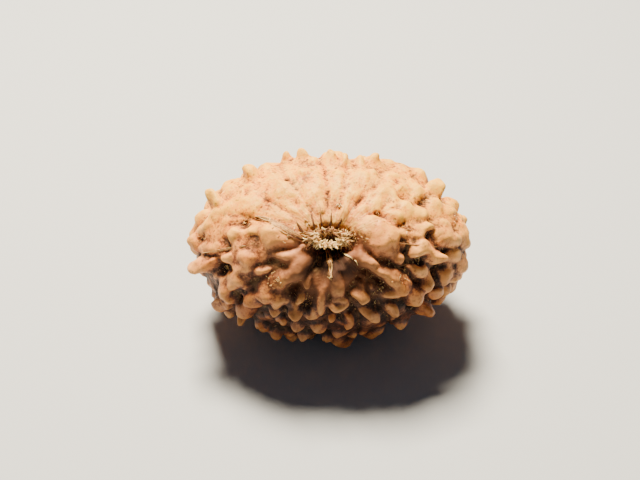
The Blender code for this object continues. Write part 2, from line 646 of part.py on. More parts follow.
def fuse(thing, voxel, rounds):
    """Joins the overlapping pieces into one skin and rounds the creases between them."""
    skin = thing.modifiers.new("one skin", "REMESH")
    skin.mode = "VOXEL"
    skin.voxel_size = voxel
    soften = thing.modifiers.new("soft creases", "SMOOTH")
    soften.factor = 0.5
    soften.iterations = rounds
    bpy.context.view_layer.objects.active = thing
    for modifier in (skin, soften):
        bpy.ops.object.modifier_apply(modifier=modifier.name)


def mesh_points(thing):
    flat = np.empty(3 * len(thing.data.vertices))
    thing.data.vertices.foreach_get("co", flat)
    return flat.reshape(-1, 3)


def mesh_links(thing):
    flat = np.empty(2 * len(thing.data.edges), int)
    thing.data.edges.foreach_get("vertices", flat)
    return flat.reshape(-1, 2)


def stand_in_scene(thing, points):
    """Turns the body's own millimetres into the scene's metres."""
    spots = (points @ AXES + BODY_CENTRE) * MILLIMETRE
    thing.data.vertices.foreach_set("co", spots.ravel())
    thing.data.update()


def thin_out(thing, triangles):
    count = sum(len(face.vertices) - 2 for face in thing.data.polygons)
    thinning = thing.modifiers.new("fewer faces", "DECIMATE")
    thinning.ratio = min(1.0, triangles / count)
    thinning.use_collapse_triangulate = True


def paint(thing, name, color, roughness):
    material = bpy.data.materials.new(name)
    material.use_nodes = True
    shader = material.node_tree.nodes["Principled BSDF"]
    shader.inputs["Base Color"].default_value = (*color, 1.0)
    shader.inputs["Roughness"].default_value = roughness
    thing.data.materials.append(material)
    thing.data.shade_smooth()


def make_stone(collection, cutters):
    seen = [seen_knob(*reading) for reading in KNOBS]
    feet = foot_knobs()
    hidden = hidden_knobs(seen + feet)
    form = bmesh.new()
    ball = bmesh.ops.create_icosphere(form, subdivisions=6, radius=1.0)["verts"]
    start = BODY * unit(np.array([vert.co for vert in ball]))
    _, normals, level, _ = lobes(start)
    for vert, spot in zip(ball, start + normals * level[:, None]):
        vert.co = spot
    for knob in above_floor(seen + hidden) + feet:
        add_knob(form, knob)
    stone = object_from(form, "seed_stone", collection)
    fuse(stone, STONE_VOXEL, STONE_SMOOTHING)
    points = webbed(mesh_points(stone), mesh_links(stone))
    stand_in_scene(stone, carved(points))
    thin_out(stone, STONE_TRIANGLES)
    bpy.ops.mesh.primitive_cube_add(size=CUTTER_SIDE, location=(0.0, 0.0, -CUTTER_SIDE / 2.0))
    below = bpy.context.object
    below.name = "below_floor"
    below.hide_render = True
    below.display_type = "WIRE"
    for home in below.users_collection:
        home.objects.unlink(below)
    cutters.objects.link(below)
    cut = stone.modifiers.new("flat feet", "BOOLEAN")
    cut.object = below
    cut.operation = "DIFFERENCE"
    paint(stone, "stone_brown", STONE_COLOUR, 0.5)


def make_fibre_ring(collection):
    random = np.random.default_rng(12)
    bpy.ops.mesh.primitive_torus_add(
        major_segments=32, minor_segments=8, major_radius=1.0, minor_radius=RING_THICKNESS
    )
    ring = bpy.context.object
    form = bmesh.new()
    form.from_mesh(ring.data)
    bpy.data.objects.remove(ring)
    for vert in form.verts:
        middle = vert.co.copy()
        middle.z = 0.0
        middle.normalize()
        off = vert.co - middle
        vert.co = (
            middle.x * RING[0] + off.x,
            middle.y * RING[1] + off.y,
            RING_LEVEL + off.z,
        )
    for place in range(FIBRES):
        angle = math.tau * (place + random.uniform(-0.3, 0.3)) / FIBRES
        start = Vector((RING[0] * math.cos(angle), RING[1] * math.sin(angle), RING_LEVEL))
        outward = Vector((math.cos(angle), math.sin(angle), 0.0))
        sideways = Vector((-outward.y, outward.x, 0.0))
        lean = outward * random.uniform(-0.35, 0.4) + sideways * random.uniform(-0.5, 0.5)
        heading = (Vector((0.0, 0.0, 1.0)) + lean).normalized()
        length = random.uniform(*FIBRE_LENGTHS)
        turn = heading.to_track_quat("Z", "Y").to_matrix().to_4x4()
        bmesh.ops.create_cone(
            form,
            cap_ends=True,
            segments=7,
            radius1=FIBRE_ENDS[0],
            radius2=FIBRE_ENDS[1],
            depth=length,
            matrix=Matrix.Translation(start + heading * length / 2.0) @ turn,
        )
    tuft = object_from(form, "stalk_fibre_ring", collection)
    fuse(tuft, FIBRE_VOXEL, 1)
    stand_in_scene(tuft, mesh_points(tuft))
    thin_out(tuft, FIBRE_TRIANGLES)
    paint(tuft, "fibre_straw", FIBRE_COLOUR, 0.8)


def main():
    for thing in list(bpy.data.objects):
        bpy.data.objects.remove(thing)
    seed = bpy.data.collections.new("rudraksha_seed")
    cutters = bpy.data.collections.new("cutters")
    for collection in (seed, cutters):
        bpy.context.scene.collection.children.link(collection)
    make_stone(seed, cutters)
    make_fibre_ring(seed)


main()
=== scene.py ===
from math import cos, pi, radians, sin, sqrt, tau
import bpy
import numpy as np
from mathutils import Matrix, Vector
from mathutils.bvhtree import BVHTree


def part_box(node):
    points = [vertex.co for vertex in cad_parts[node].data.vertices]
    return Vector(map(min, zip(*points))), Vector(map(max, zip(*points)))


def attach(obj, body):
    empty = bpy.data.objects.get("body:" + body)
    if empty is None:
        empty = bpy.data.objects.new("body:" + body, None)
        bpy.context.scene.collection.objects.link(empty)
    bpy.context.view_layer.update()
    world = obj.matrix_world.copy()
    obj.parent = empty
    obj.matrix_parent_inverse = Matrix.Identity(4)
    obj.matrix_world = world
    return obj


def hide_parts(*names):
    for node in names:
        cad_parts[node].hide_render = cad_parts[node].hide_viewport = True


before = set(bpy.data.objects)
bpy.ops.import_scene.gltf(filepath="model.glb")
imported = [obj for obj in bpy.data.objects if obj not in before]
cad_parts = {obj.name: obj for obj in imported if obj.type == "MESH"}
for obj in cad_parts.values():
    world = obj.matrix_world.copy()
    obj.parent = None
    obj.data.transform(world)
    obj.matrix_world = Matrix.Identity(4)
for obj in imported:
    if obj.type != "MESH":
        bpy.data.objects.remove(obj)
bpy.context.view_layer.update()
bpy.ops.object.select_all(action="DESELECT")
print("frame loaded")

mm = 0.001  # the seed is shaped in millimetres on its own axes, then stood in the scene

# where the photo was taken from: the last four are in pixels
eye = {
    "angle": radians(40),  # over the floor
    "distance": 100,
    "photoWidth": 640,
    "centre": (320, 240),
    "focal": 1018,
    "bodyPixel": (329.5, 246),
}

stoneForm = {
    "halfSizes": (12.3, 7.75, 9.0),  # without its knobs: length, width, height at the stalk
    "stalkTilt": radians(43),
    "middle": (0.05, 0.07, 9.5),
    "stalkPit": (2.1, 1.32, 1.6),  # half length, half width, depth
    "farPit": (1.3, 1.0, 0.7),
    "pitRim": 0.8,  # how high the rim of a small pit stands
    "pitShare": 0.6,
    "pitRagged": (0.9, 0.3, 121),  # here and below: noise width, how far, seed
    "grooveWidth": 0.17,
    "grooveDepth": 0.24,
    "grooveWaver": (3.4, 4.5, 31),
    "grooveStart": 0.16,
    "grooveSwing": (0.3, 0.6),  # where it leaves its own angle close to the stalk
    "knobsFill": (0.7, 0.4),  # how far knobs fill a groove, and how much less on the far side
    "farWider": 0.6,
    "farValley": (0.25, 0.6),  # depth and width of the extra valleys between the far knobs
    "lobeSwell": 0.3,
    "bedAtStalk": 0.1,
    "bedRise": 0.4,
    "bedOut": (0.3, 0.65),
    "upperRise": 0.36,
    "upperWider": 1.4,
    "tipShare": (0.52, -0.13, 0.06),  # of a knob's width: to start with, by height, by width
    "tipShareLimits": (0.3, 0.56),
    "ridgeShare": 0.45,  # shares of a knob's own length, width and height
    "rootLength": 0.66,
    "rootWidth": 0.98,
    "rootFlare": 1.3,
    "rootSkirt": 0.3,
    "sharpFlare": 0.6,
    "rootDepth": 0.8,
    "capOfHeight": 0.75,
    "tailDrop": 0.28,
    "hidden": {  # knobs out of the camera's sight, in rows down each lobe: angles from the stalk
        "seed": 7,
        "angles": (84, 158),
        "step": (15.5, 1.5),  # to the next row, and how much that varies
        "stagger": 6,
        "stray": (0.04, 3, 0.5),  # across the lobe, down it and in turn
        "girth": 10.3,
        "rows": [(4.2, (-0.32, 0.0, 0.32)), (2.6, (-0.25, 0.25)), (0, (0.0,))],  # for more room than this
        "heights": (1.4, 2.3),
        "tallAngles": (98, 130),
        "lowerShare": 0.75,  # of the height, above and below those angles
        "widest": 2.4,
        "widths": (0.95, 1.4),
        "lengths": (1.1, 1.7),
        "tips": (0.7, 1.1),
        "clearance": 1.6,
    },
    "feet": [(3.5, -2.0), (-3.7, -1.6), (3.1, 2.4), (-2.9, 2.2)],
    "footSize": (2.8, 2.4),
    "footTip": 0.32,
    "footCut": 0.3,
    "floorClearance": 0.5,
    "knobStray": [(2.2, 0.3, 101), (1.0, 0.14, 111)],
    "skinStray": [(1.8, 0.16, 11), (0.8, 0.05, 21)],
    "skinBumps": [(1.1, 0.1, 61), (0.55, 0.05, 41)],
    "wrinkles": [(0.9, 0.05, 71), (0.42, 0.035, 81)],
    "grain": [(0.3, 0.05, 51), (0.17, 0.025, 91)],
    "knobHeights": (0.7, 1.5),  # skin over the first is partly knob, and over the second all knob
    # wrinkles: where they begin and end, up to what height, and how far round from the top
    "fan": ((0.14, 0.26), (0.45, 0.75), (0.5, 0.95), (0.4, 0.75)),
    "flowScale": (9, 2.2),  # round the stalk, and outwards
    "seamWidth": (0.09, 0.08),  # and how much more on the far side
    "seamHeights": (0.8, 1.5),
    "webWidth": 0.5,  # webs partly close the hollows between the knobs that are about this wide
    "webShare": 0.2,
    "voxel": 0.12,
    "softening": 4,
    "hollowRounds": (9, 70),  # how far round a place its hollow is told, close by and wider
    "triangles": 190000,
}

# between the lobes: angle round the stalk, the same close to the stalk, how deep, where it begins
grooves = [
 (20, 28, 0.6, 0.5),
 (43, 43, 0.4, 0.4),
 (65, 65, 0.6, 0.3),
 (81, 81, 0.6, 0.26),
 (95, 95, 0.6, 0.26),
 (113, 113, 0.6, 0.26),
 (133, 133, 0.55, 0.3),
 (155, 155, 0.45, 0.22),
 (188, 188, 0.45, 0.62),
 (218, 216, 0.9, 0.34),
 (246, 246, 0.8, 0.26),
 (268, 268, 1.0, 0.22),
 (282, 282, 1.0, 0.26),
 (296, 296, 1.0, 0.26),
 (319, 319, 0.9, 0.3),
 (356, 373, 0.7, 0.62),
]

# knobs the camera sees: pixel across and down, height, length, width in mm, turn, and where they
# need it the tip's share and the lean
knobs = [
 # along the top edge
 (247.5, 165, 2.3, 2.9, 2.2, 125, 0.24, 0.4),
 (258, 177, 1.2, 3, 2.4, 300, 0.4),
 (267, 165, 1.5, 3, 2.8, 110, 0.3),
 (285, 151, 2.1, 2.6, 2.4, 100, 0.18),
 (300.5, 149.5, 2.2, 3.4, 3.4, 95, 0.18),
 (312, 157, 1.6, 3, 2.7, 85, 0.24),
 (330.5, 150.5, 2.2, 2.6, 2.2, 90, 0.18),
 (345.5, 153, 2, 2.4, 1.9, 90, 0.2),
 (362, 156, 1.8, 2.7, 2.1, 85, 0.24),
 (376, 151.5, 2.2, 2.9, 2.5, 80, 0.2),
 (393, 160, 1.6, 4, 3.4, 70, 0.5),
 (409, 160.5, 1.8, 4, 3.4, 60, 0.5),
 (424, 167, 1.9, 3.6, 3, 50, 0.5),
 (417, 186, 1.3, 4.4, 3, 50, 0.56),
 # at the right end
 (443, 180.5, 2.5, 2.5, 1.7, 17, 0.46, 0.6),
 (428, 188, 1.3, 2.2, 1.3, 17),
 (415, 194, 0.9, 2, 1.3, 17),
 (453, 212, 1.5, 4.4, 3.2, -38, 0.5),
 (464, 225, 1.7, 3.6, 3, -55, 0.5),
 (470, 236.5, 1.9, 3.4, 2.8, -5, 0.5),
 (450, 236, 1.7, 5.4, 2.4, -3),
 (446, 226, 1.35, 4, 2.6, -15, 0.56),
 (416, 232, 1.4, 4, 2.1, 12, 0.5, 0.2),
 (430, 227.5, 1.5, 2.6, 1.6, 15, 0.34, 0.4),
 (424, 250, 1.8, 4.8, 2.6, -16, 0.42, 0.2),
 (445, 258, 2.3, 2.3, 1.4, -18, 0.26, 0.7),
 (409, 246, 1.2, 1.8, 1.5, -30),
 (458, 257, 1.6, 3, 2.2, -30, 0.5),
 (466.5, 266, 1.9, 3.2, 2.2, -75, 0.45),
 (446, 269, 1.5, 2.4, 1.3, -80, 0.42, 0.2),
 (451, 273, 1.3, 4, 2.6, -80, 0.56),
 (460, 281, 1.7, 3.6, 2.4, -105, 0.5),
 (453, 293, 1.6, 2.6, 1.8, -125, 0.45),
 (441, 297, 1.6, 3, 1.6, 195, 0.5),
 (430, 286, 1.6, 3, 2, -70, 0.5),
 (420, 274, 1.5, 3.4, 1.7, 0),
 # right of the stalk
 (383, 235, 1.6, 4, 3.2, -40),
 (365, 247, 0.7, 2.2, 1.5, 215),
 (395, 248, 1.2, 2.6, 2, 285),
 (399, 261, 1.3, 1.7, 1.2, -40),
 (369.5, 264.5, 1.6, 3, 1.35, -32, 0.5),
 (384, 275, 1.7, 3, 1.45, -36, 0.5),
 (395, 283, 1.75, 2.6, 1.7, -42, 0.5),
 (404.5, 289.5, 1.85, 3, 2.6, -55, 0.48, 0.1),
 (390, 297, 1.6, 2.8, 1.7, -5, 0.45),
 (394, 315, 1.8, 2.8, 2.2, -45, 0.26, 0.3),
 (404, 332, 1.9, 3.4, 2.6, -50, 0.26, 0.3),
 (419.5, 300, 1.9, 3.2, 2.4, -75, 0.42),
 (433, 317, 2.3, 2.6, 2.1, -52, 0.28, 0.5),
 (420, 291, 1.2, 1.7, 0.9, -80),
 # below the stalk
 (288, 256, 1.15, 3.4, 1.6, 190, 0.5),
 (303, 256, 0.95, 2.4, 1.8, -60, 0.5),
 (297, 270, 1.35, 4.4, 2.3, 238, 0.5),
 (307, 283, 1.1, 1.8, 0.8, 258),
 (292.5, 319, 1.9, 2, 1.8, 265, 0.38, 0.2),
 (289, 306, 1.3, 2.6, 1.3, 255, 0.42),
 (300, 302, 1.1, 1.8, 0.9, 250),
 (320, 309, 1.5, 3.6, 1.2, 262, 0.42),
 (311, 319, 1.5, 2.4, 1.8, 255, 0.42),
 (303, 341, 1.8, 2, 2.2, 268, 0.4),
 (287, 341, 1.5, 1.3, 1.2, 262),
 (275, 344, 2.3, 1.7, 1.3, 260, 0.3, 0.4),
 (256, 331, 1.7, 1.7, 1.4, 252),
 (296, 330, 1.5, 1.9, 1.5, 265),
 (318, 334, 1.6, 2, 1.6, 268),
 (327, 342, 1.6, 1.6, 1.4, 268),
 (353, 342, 1.5, 1.6, 1.5, 272),
 (338, 291, 1.5, 2.8, 2, 272, 0.5),
 (338, 307, 1.6, 2, 2.2, 272, 0.5),
 (332, 321, 1.5, 1.3, 0.9, 270),
 (348.5, 326, 1.9, 2.2, 1, 265),
 (340, 340, 1.7, 1.8, 2.4, 270, 0.4),
 (347, 272, 0.8, 3.6, 2, 285, 0.56),
 (362, 302, 1.5, 3.2, 1.6, -27, 0.4),
 (370, 319, 1.7, 3.2, 1.7, -28, 0.36),
 (362, 287, 0.9, 1.7, 0.9, 285),
 (381, 337, 1.5, 1.9, 1.9, -60, 0.4),
 (363, 338, 1.4, 1.8, 2, 270, 0.4),
 (325, 292, 0.9, 2, 1.2, 265),
 # lower left
 (224, 261, 1.6, 3.2, 1.9, 180, 0.42),
 (240, 259, 1.5, 3.6, 2.2, 0, 0.45),
 (191.5, 268, 2.5, 4.2, 1.8, 186, 0.34, 0.9),
 (208, 264, 1.5, 3, 1.7, 188, 0.45),
 (217, 275, 0.9, 1.8, 0.8, 262),
 (236, 283, 1.8, 4.6, 3.8, 215, 0.52),
 (226, 290, 1.6, 3, 2.4, 235, 0.5),
 (260, 272, 1.45, 3, 1.7, 200, 0.42),
 (251, 257, 0.8, 2.2, 1.6, 200),
 (216, 311.5, 2.3, 3.6, 2.6, 248, 0.38, 0.5),
 (223, 299, 2, 4.4, 2.7, 245, 0.45),
 (207, 285, 0.9, 1.6, 1.4, 220),
 (267, 289, 1.5, 4.4, 2.6, 190, 0.5),
 (283, 279, 1.1, 3.4, 1.8, 238, 0.5),
 (241, 315.5, 2.1, 3.4, 2.4, 245, 0.42, 0.3),
 (250, 303, 2, 3.6, 2.4, 225, 0.46),
 (264, 300, 1.9, 4.2, 2.1, 180, 0.46),
 (277, 305, 1.9, 3, 2.2, 250, 0.46),
 (272, 315, 1.6, 1.4, 1.2, 250),
 (234, 327, 2, 1.2, 0.9, 250, 0.3, 0.3),
 (265, 336, 1.7, 1.1, 1.1, 258),
 (279, 326, 1.5, 1.5, 1.2, 262),
 # at the left end
 (205.5, 192, 2.7, 2.6, 1.5, 146, 0.36, 0.8),
 (225, 204, 1.4, 3.4, 1.9, 148, 0.42),
 (216, 212, 1.5, 3.8, 2.8, 165, 0.52),
 (222, 224, 1.2, 4.2, 3, 175, 0.56),
 (201, 226, 1.6, 4.4, 2.6, 205, 0.52),
 (188.5, 241, 1.9, 3, 2.6, 195, 0.45),
 (209, 237, 1.3, 4.8, 3.4, 185, 0.56),
 (207, 249, 1.5, 4.8, 1.8, 188, 0.5),
 (237, 210, 1, 3.4, 2.6, 165, 0.56),
 (232, 231, 1.5, 2.8, 2, 235, 0.45, 0.1),
 (250, 234, 1.1, 4.4, 2.8, 180, 0.5),
 (247, 249, 1.15, 4.8, 3.6, 200, 0.56),
 (263, 262, 1.1, 4.2, 2.6, 205, 0.56),
 (273, 236, 1.3, 4, 2.3, 176),
 (261, 252, 1.1, 3.2, 2.2, 200),
 (283, 215, 0.5, 2.2, 0.9, -18),
 (256, 213, 0.6, 2.4, 1.6, 150),
 (237, 245, 0.9, 3.4, 2, 190, 0.56),
 # upper side
 (227, 187, 1.65, 3.4, 2.8, 120, 0.45),
 (241, 195, 1.3, 4.4, 3.6, 140, 0.56),
 (238, 179, 1.55, 3, 2.4, 60, 0.45),
 (272, 182, 1.1, 2.5, 2.1, 120, 0.56),
 (287, 186, 1, 2.8, 1.6, 110, 0.56),
 (304, 169, 1.3, 2.2, 1.8, 100, 0.56),
 (316, 173, 1.1, 2, 1.4, 95, 0.56),
 (338, 172, 1.3, 2.2, 2, 90, 0.56),
 (359, 174, 1.3, 2.5, 2, 80, 0.56),
 (373, 170, 1.2, 2, 1.6, 75, 0.56),
 (402, 181, 1.4, 2.8, 2.2, 60, 0.56),
 (385, 190, 1.2, 3, 2.1, 65, 0.56),
 (378, 200, 1, 3, 1.8, 55, 0.56),
 (321, 195, 0.65, 3.8, 1.3, 97, 0.56),
 (345, 195, 0.65, 3.8, 1.3, 85, 0.56),
 (300, 198, 0.65, 3.8, 1.3, 112, 0.56),
 (365, 205, 0.75, 3.8, 1.6, 60, 0.56),
 (395, 206, 1.1, 2.8, 2.1, 40, 0.56),
 (408, 208, 1.3, 2.8, 2.1, 30, 0.56),
 (436, 203, 1.45, 2.8, 2.3, 30, 0.56),
 (398, 215, 1.3, 1.6, 1.4, 20, 0.56),
 (424, 212, 1.4, 2.8, 2, 20, 0.56),
]

# pits the camera sees: pixel across and down, depth, length, width in mm, turn
pits = [
 (435.5, 272, 2.4, 1.9, 1.3, 75),
 (444.5, 287.5, 2, 1.7, 1, 18),
 (415, 261, 1.3, 1.5, 0.9, 5),
 (407, 275, 0.7, 2.2, 0.8, -50),
 (293, 295, 0.9, 1.6, 1.3, 20),
 (308, 308, 1, 2, 1, 75),
 (378, 291, 1, 1.5, 1.1, 60),
 (371, 280, 1.5, 2.4, 1, -38),
 (356, 283, 0.6, 0.9, 0.7, 0),
 (341, 318, 0.9, 1, 0.8, 80),
 (228, 270, 1.3, 1.8, 1.2, 0),
 (257, 317, 1.3, 2.1, 1.3, 0),
 (246.5, 223.5, 0.7, 1.9, 0.8, 5),
 (253, 191, 0.4, 1.4, 0.5, 100),
 (421, 198, 0.5, 1.6, 1, 60),
 (412, 204, 0.3, 0.8, 0.6, 0),
 (391, 182, 0.6, 1, 0.9, 0),
 (377, 214, 0.35, 1.5, 0.5, -12),
 (363, 200, 0.3, 1, 0.8, 0),
 (340, 205, 0.12, 0.8, 0.6, 90),
 (328, 190, 0.25, 0.8, 0.4, 90),
 (294, 199, 0.25, 0.5, 0.45, 90),
 (286, 178, 0.25, 0.7, 0.4, 0),
 (407, 229, 0.3, 1.4, 0.6, 10),
 (206, 236, 0.3, 1.2, 0.8, 0),
 (257, 235, 0.2, 0.7, 0.5, 20),
 (454, 221, 0.4, 0.7, 0.4, 0),
 (270, 264, 0.6, 1.6, 0.6, 10),
 (284, 248.5, 0.35, 1.6, 0.8, 0),
 (247, 295, 0.8, 1.8, 0.9, 30),
 (338, 302, 0.4, 1.4, 0.4, 0),
 (374, 254, 0.3, 1.6, 0.8, -25),
 (316, 260, 2, 2.4, 1.5, 262),
 (323, 252, 1.5, 3.2, 0.9, 0),
 (337, 257, 1.9, 1.9, 1, 285),
 (330, 332, 0.6, 1.6, 0.7, 268),
 (407, 309, 0.9, 1.5, 0.9, 290),
 (278, 281, 0.35, 1.6, 0.9, 240),
 (431, 237, 0.2, 1.4, 0.6, 10),
 (268, 199, 0.25, 0.6, 0.5, 60),
 (402, 248, 0.6, 1.8, 0.5, -70),
]

tilt = stoneForm["stalkTilt"]
half = np.array(stoneForm["halfSizes"])
middle = np.array(stoneForm["middle"])
axes = np.array([[1, 0, 0], [0, sin(tilt), cos(tilt)], [0, -cos(tilt), sin(tilt)]])
eyeOut = np.array([0, -cos(eye["angle"]), sin(eye["angle"])])
eyeUp = np.array([0, sin(eye["angle"]), cos(eye["angle"])])
eyeRight = np.array([1.0, 0, 0])
pixelSize = eye["distance"] / eye["focal"]
eyeSpot = (
    eyeOut * eye["distance"]
    - eyeRight * (eye["bodyPixel"][0] - eye["centre"][0]) * pixelSize
    - eyeUp * (eye["centre"][1] - eye["bodyPixel"][1]) * pixelSize
)


def unit(vectors):
    return vectors / np.linalg.norm(vectors, axis=-1, keepdims=True)


def ease(values, start, end):
    share = np.clip((values - start) / (end - start), 0, 1)
    return share * share * (3 - 2 * share)


def noise(points, cell, seed):  # smooth, about -1 to 1, bumps about a cell wide
    size = 24  # it repeats after this many cells
    slopes = unit(np.random.default_rng(seed).standard_normal((size, size, size, 3)))
    grid = points / cell + 500.0
    corner = np.floor(grid).astype(int)
    part = grid - corner
    fade = part**3 * (part * (part * 6 - 15) + 10)
    total = np.zeros(len(points))
    for step in np.ndindex(2, 2, 2):
        step = np.array(step)
        slope = slopes[tuple(((corner + step) % size).T)]
        weight = np.where(step == 1, fade, 1 - fade).prod(axis=1)
        total += weight * ((part - step) * slope).sum(axis=1)
    return total * 1.6


def wander(points, cell, amount, seed):
    return points + amount * np.stack([noise(points, cell, seed + axis) for axis in range(3)], axis=1)


def bumps(points, layers):
    return sum(amount * noise(points, cell, seed) for cell, amount, seed in layers)


def rayAt(across, down):
    right = eyeRight * (across - eye["centre"][0]) / eye["focal"]
    return right + eyeUp * (eye["centre"][1] - down) / eye["focal"] - eyeOut


def firstHit(start, direction, growth):  # where a ray meets the body grown by this much
    size = half + growth
    start = axes @ start / size
    direction = axes @ direction / size
    along = direction @ direction
    back = start @ direction
    inside = back * back - along * (start @ start - 1)
    if inside < 0:
        return unit(start - direction * back / along)
    return unit(start + direction * (-back - sqrt(inside)) / along)


def pixelOf(point):
    ray = point @ axes - eyeSpot
    depth = -ray @ eyeOut
    across = eye["centre"][0] + eye["focal"] * (ray @ eyeRight) / depth
    return across, eye["centre"][1] - eye["focal"] * (ray @ eyeUp) / depth


def placedOn(direction, heading):  # foot on the body, outward normal, heading square to it
    foot = half * direction
    normal = unit(direction / half)
    heading = heading - normal * (heading @ normal)
    if np.linalg.norm(heading) < 0.02:  # too short to trust, so away from the stalk instead
        heading = foot * [1, 1, 0]
        heading = heading - normal * (heading @ normal)
    return foot, normal, unit(heading)


def tipShare(height, width):
    start, byHeight, byWidth = stoneForm["tipShare"]
    share = start + byHeight * (height - 0.6) + byWidth * width
    return float(np.clip(share, *stoneForm["tipShareLimits"]))


def seenKnob(across, down, height, length, width, turn, tip=None, lean=0):
    aheadAcross = 4 * cos(radians(turn))
    aheadDown = -4 * sin(radians(turn))
    shift = np.zeros(2)
    for _ in range(4):  # the foot moves until the tip shows at its pixel, and 14 pixels at most
        atAcross, atDown = across + shift[0], down + shift[1]
        direction = firstHit(eyeSpot, rayAt(atAcross, atDown), height)
        ahead = firstHit(eyeSpot, rayAt(atAcross + aheadAcross, atDown + aheadDown), height)
        foot, normal, heading = placedOn(direction, half * (ahead - direction))
        top = foot + normal * height + heading * lean
        shift += 0.9 * (np.array([across, down]) - pixelOf(top))
        shift *= min(1, 14 / max(np.linalg.norm(shift), 1))
    return foot, normal, heading, height, length, width, lean, tip or tipShare(height, width)


def hiddenKnobs(seen):
    rule = stoneForm["hidden"]
    random = np.random.default_rng(rule["seed"])
    taken = np.array([knob[0] for knob in seen])
    edges = [groove[0] for groove in grooves]
    tallFrom, tallTo = rule["tallAngles"]
    step, stepStray = rule["step"]
    acrossStray, downStray, turnStray = rule["stray"]
    found = []
    for lobe, edge in enumerate(edges):
        span = (edges[(lobe + 1) % len(edges)] - edge) % 360
        down, last = rule["angles"]
        while down < last:
            room = radians(span) * sin(radians(down)) * rule["girth"]
            row = next(sides for least, sides in rule["rows"] if room > least)
            tallness = 1 if tallFrom < down < tallTo else rule["lowerShare"]
            for place, side in enumerate(row):
                roundAngle = radians(edge + span * (0.5 + side + random.normal(0, acrossStray)))
                downAngle = radians(down + random.normal(0, downStray) + rule["stagger"] * (place % 2))
                ring = sin(downAngle)
                swing = np.array([cos(roundAngle), sin(roundAngle), 0])
                direction = swing * ring + [0, 0, cos(downAngle)]
                swerve = random.normal(0, turnStray)
                height = random.uniform(*rule["heights"]) * tallness
                width = min(room / len(row), rule["widest"]) * random.uniform(*rule["widths"])
                length = width * random.uniform(*rule["lengths"])
                tip = tipShare(height, width) * random.uniform(*rule["tips"])
                if np.linalg.norm(taken - half * direction, axis=1).min() < rule["clearance"]:
                    continue
                outward = swing * cos(downAngle) - [0, 0, ring]
                foot, normal, heading = placedOn(direction, half * outward)
                heading = heading * cos(swerve) + np.cross(normal, heading) * sin(swerve)
                found.append((foot, normal, heading, height, length, width, 0, tip))
            down += step + random.uniform(-stepStray, stepStray)
    return found


def aboveFloor(placed):  # a knob that points down ends clear of the floor
    lowest = stoneForm["floorClearance"] - middle[2]
    kept = []
    for foot, normal, heading, height, length, width, lean, tip in placed:
        fall = -(normal @ axes)[2]
        if fall > 0.1:
            height = min(height, ((foot @ axes)[2] - lowest) / fall)
        kept.append((foot, normal, heading, max(height, 0.5), length, width, lean, tip))
    return kept


def footKnobs():
    made = []
    for right, back in stoneForm["feet"]:
        wellBelow = np.array([right, back, -40.0])
        direction = firstHit(wellBelow, np.array([0, 0, 1.0]), 1)
        foot, normal, heading = placedOn(direction, axes @ np.array([right, back, 0]))
        height = ((foot @ axes)[2] + middle[2] + stoneForm["footCut"]) / -(normal @ axes)[2]
        made.append((foot, normal, heading, height, *stoneForm["footSize"], 0, stoneForm["footTip"]))
    return made


def knobPoints(ball, knob):  # a ball pulled into a round cap on a flared root, its tail lower
    form = stoneForm
    foot, normal, heading, height, length, width, lean, tip = knob
    tipWidth = width * tip
    tipLength = tipWidth + form["ridgeShare"] * max(0, length - width)
    cap = min(form["capOfHeight"] * height, tipWidth + 0.1)
    along, across, up = ball.T
    out = np.maximum(np.hypot(along, across), 1e-6)
    root = np.clip(-up, 0, 1)
    bluntness = min(1, max(form["sharpFlare"], tip / form["tipShareLimits"][0]))
    flare = root ** (form["rootFlare"] * bluntness)
    halfLength = tipLength + flare * (length * form["rootLength"] - tipLength + form["rootSkirt"])
    halfWidth = tipWidth + flare * (width * form["rootWidth"] - tipWidth + form["rootSkirt"])
    reach = np.where(up > 0, out, np.minimum(1, out / 0.4)) / out
    forward = halfLength * along * reach
    sideways = halfWidth * across * reach
    below = (height - cap) * (1 - root) - form["rootDepth"] * root
    rise = np.where(up > 0, height - cap + cap * up, below)
    tail = np.clip(-2 * forward / length, 0, 1.3)
    rise -= np.maximum(rise, 0) * form["tailDrop"] * tail
    forward += lean * np.clip(rise / height, 0, 1) ** 1.2
    beside = np.cross(normal, heading)
    made = foot + np.outer(rise, normal) + np.outer(forward, heading) + np.outer(sideways, beside)
    for stray in form["knobStray"]:
        made = wander(made, *stray)
    return made


def lobesAt(points):  # outward directions, normals, height of the bed, groove closeness, spread
    form = stoneForm
    directions = unit(points / half)
    normals = unit(directions / half)
    spread = np.hypot(directions[:, 0], directions[:, 1])
    turn = np.arctan2(directions[:, 1], directions[:, 0])
    angles, nearAngles, cuts, starts = np.array(grooves).T
    edges = nearAngles + np.outer(ease(spread, *form["grooveSwing"]), angles - nearAngles)
    waver = bumps(directions * half, [form["grooveWaver"]])
    gaps = np.abs(((np.degrees(turn) + waver)[:, None] - edges + 180) % 360 - 180)
    closest = np.argsort(gaps, axis=1)[:, :2]
    gap, nextGap = np.take_along_axis(gaps, closest, axis=1).T
    cut = cuts[closest[:, 0]]
    begin = starts[closest[:, 0]]
    arc = spread * np.hypot(half[0] * np.sin(turn), half[1] * np.cos(turn))
    acrossLobe = 2 * gap / (gap + nextGap)
    swell = cut * np.sqrt(1 - (1 - acrossLobe) ** 2) * np.minimum(1.25 * spread, 1) ** 1.2
    upper = ease(directions[:, 1], 0.35, 0.75) * ease(directions[:, 2], -0.1, 0.2)
    distance = np.radians(gap) * arc / (1 + form["upperWider"] * upper)
    bed = form["bedAtStalk"] + form["bedRise"] * ease(spread, *form["bedOut"]) + form["upperRise"] * upper
    seam = ease(spread, begin, begin + form["grooveStart"])
    return directions, normals, bed + form["lobeSwell"] * swell, cut * seam, distance, spread


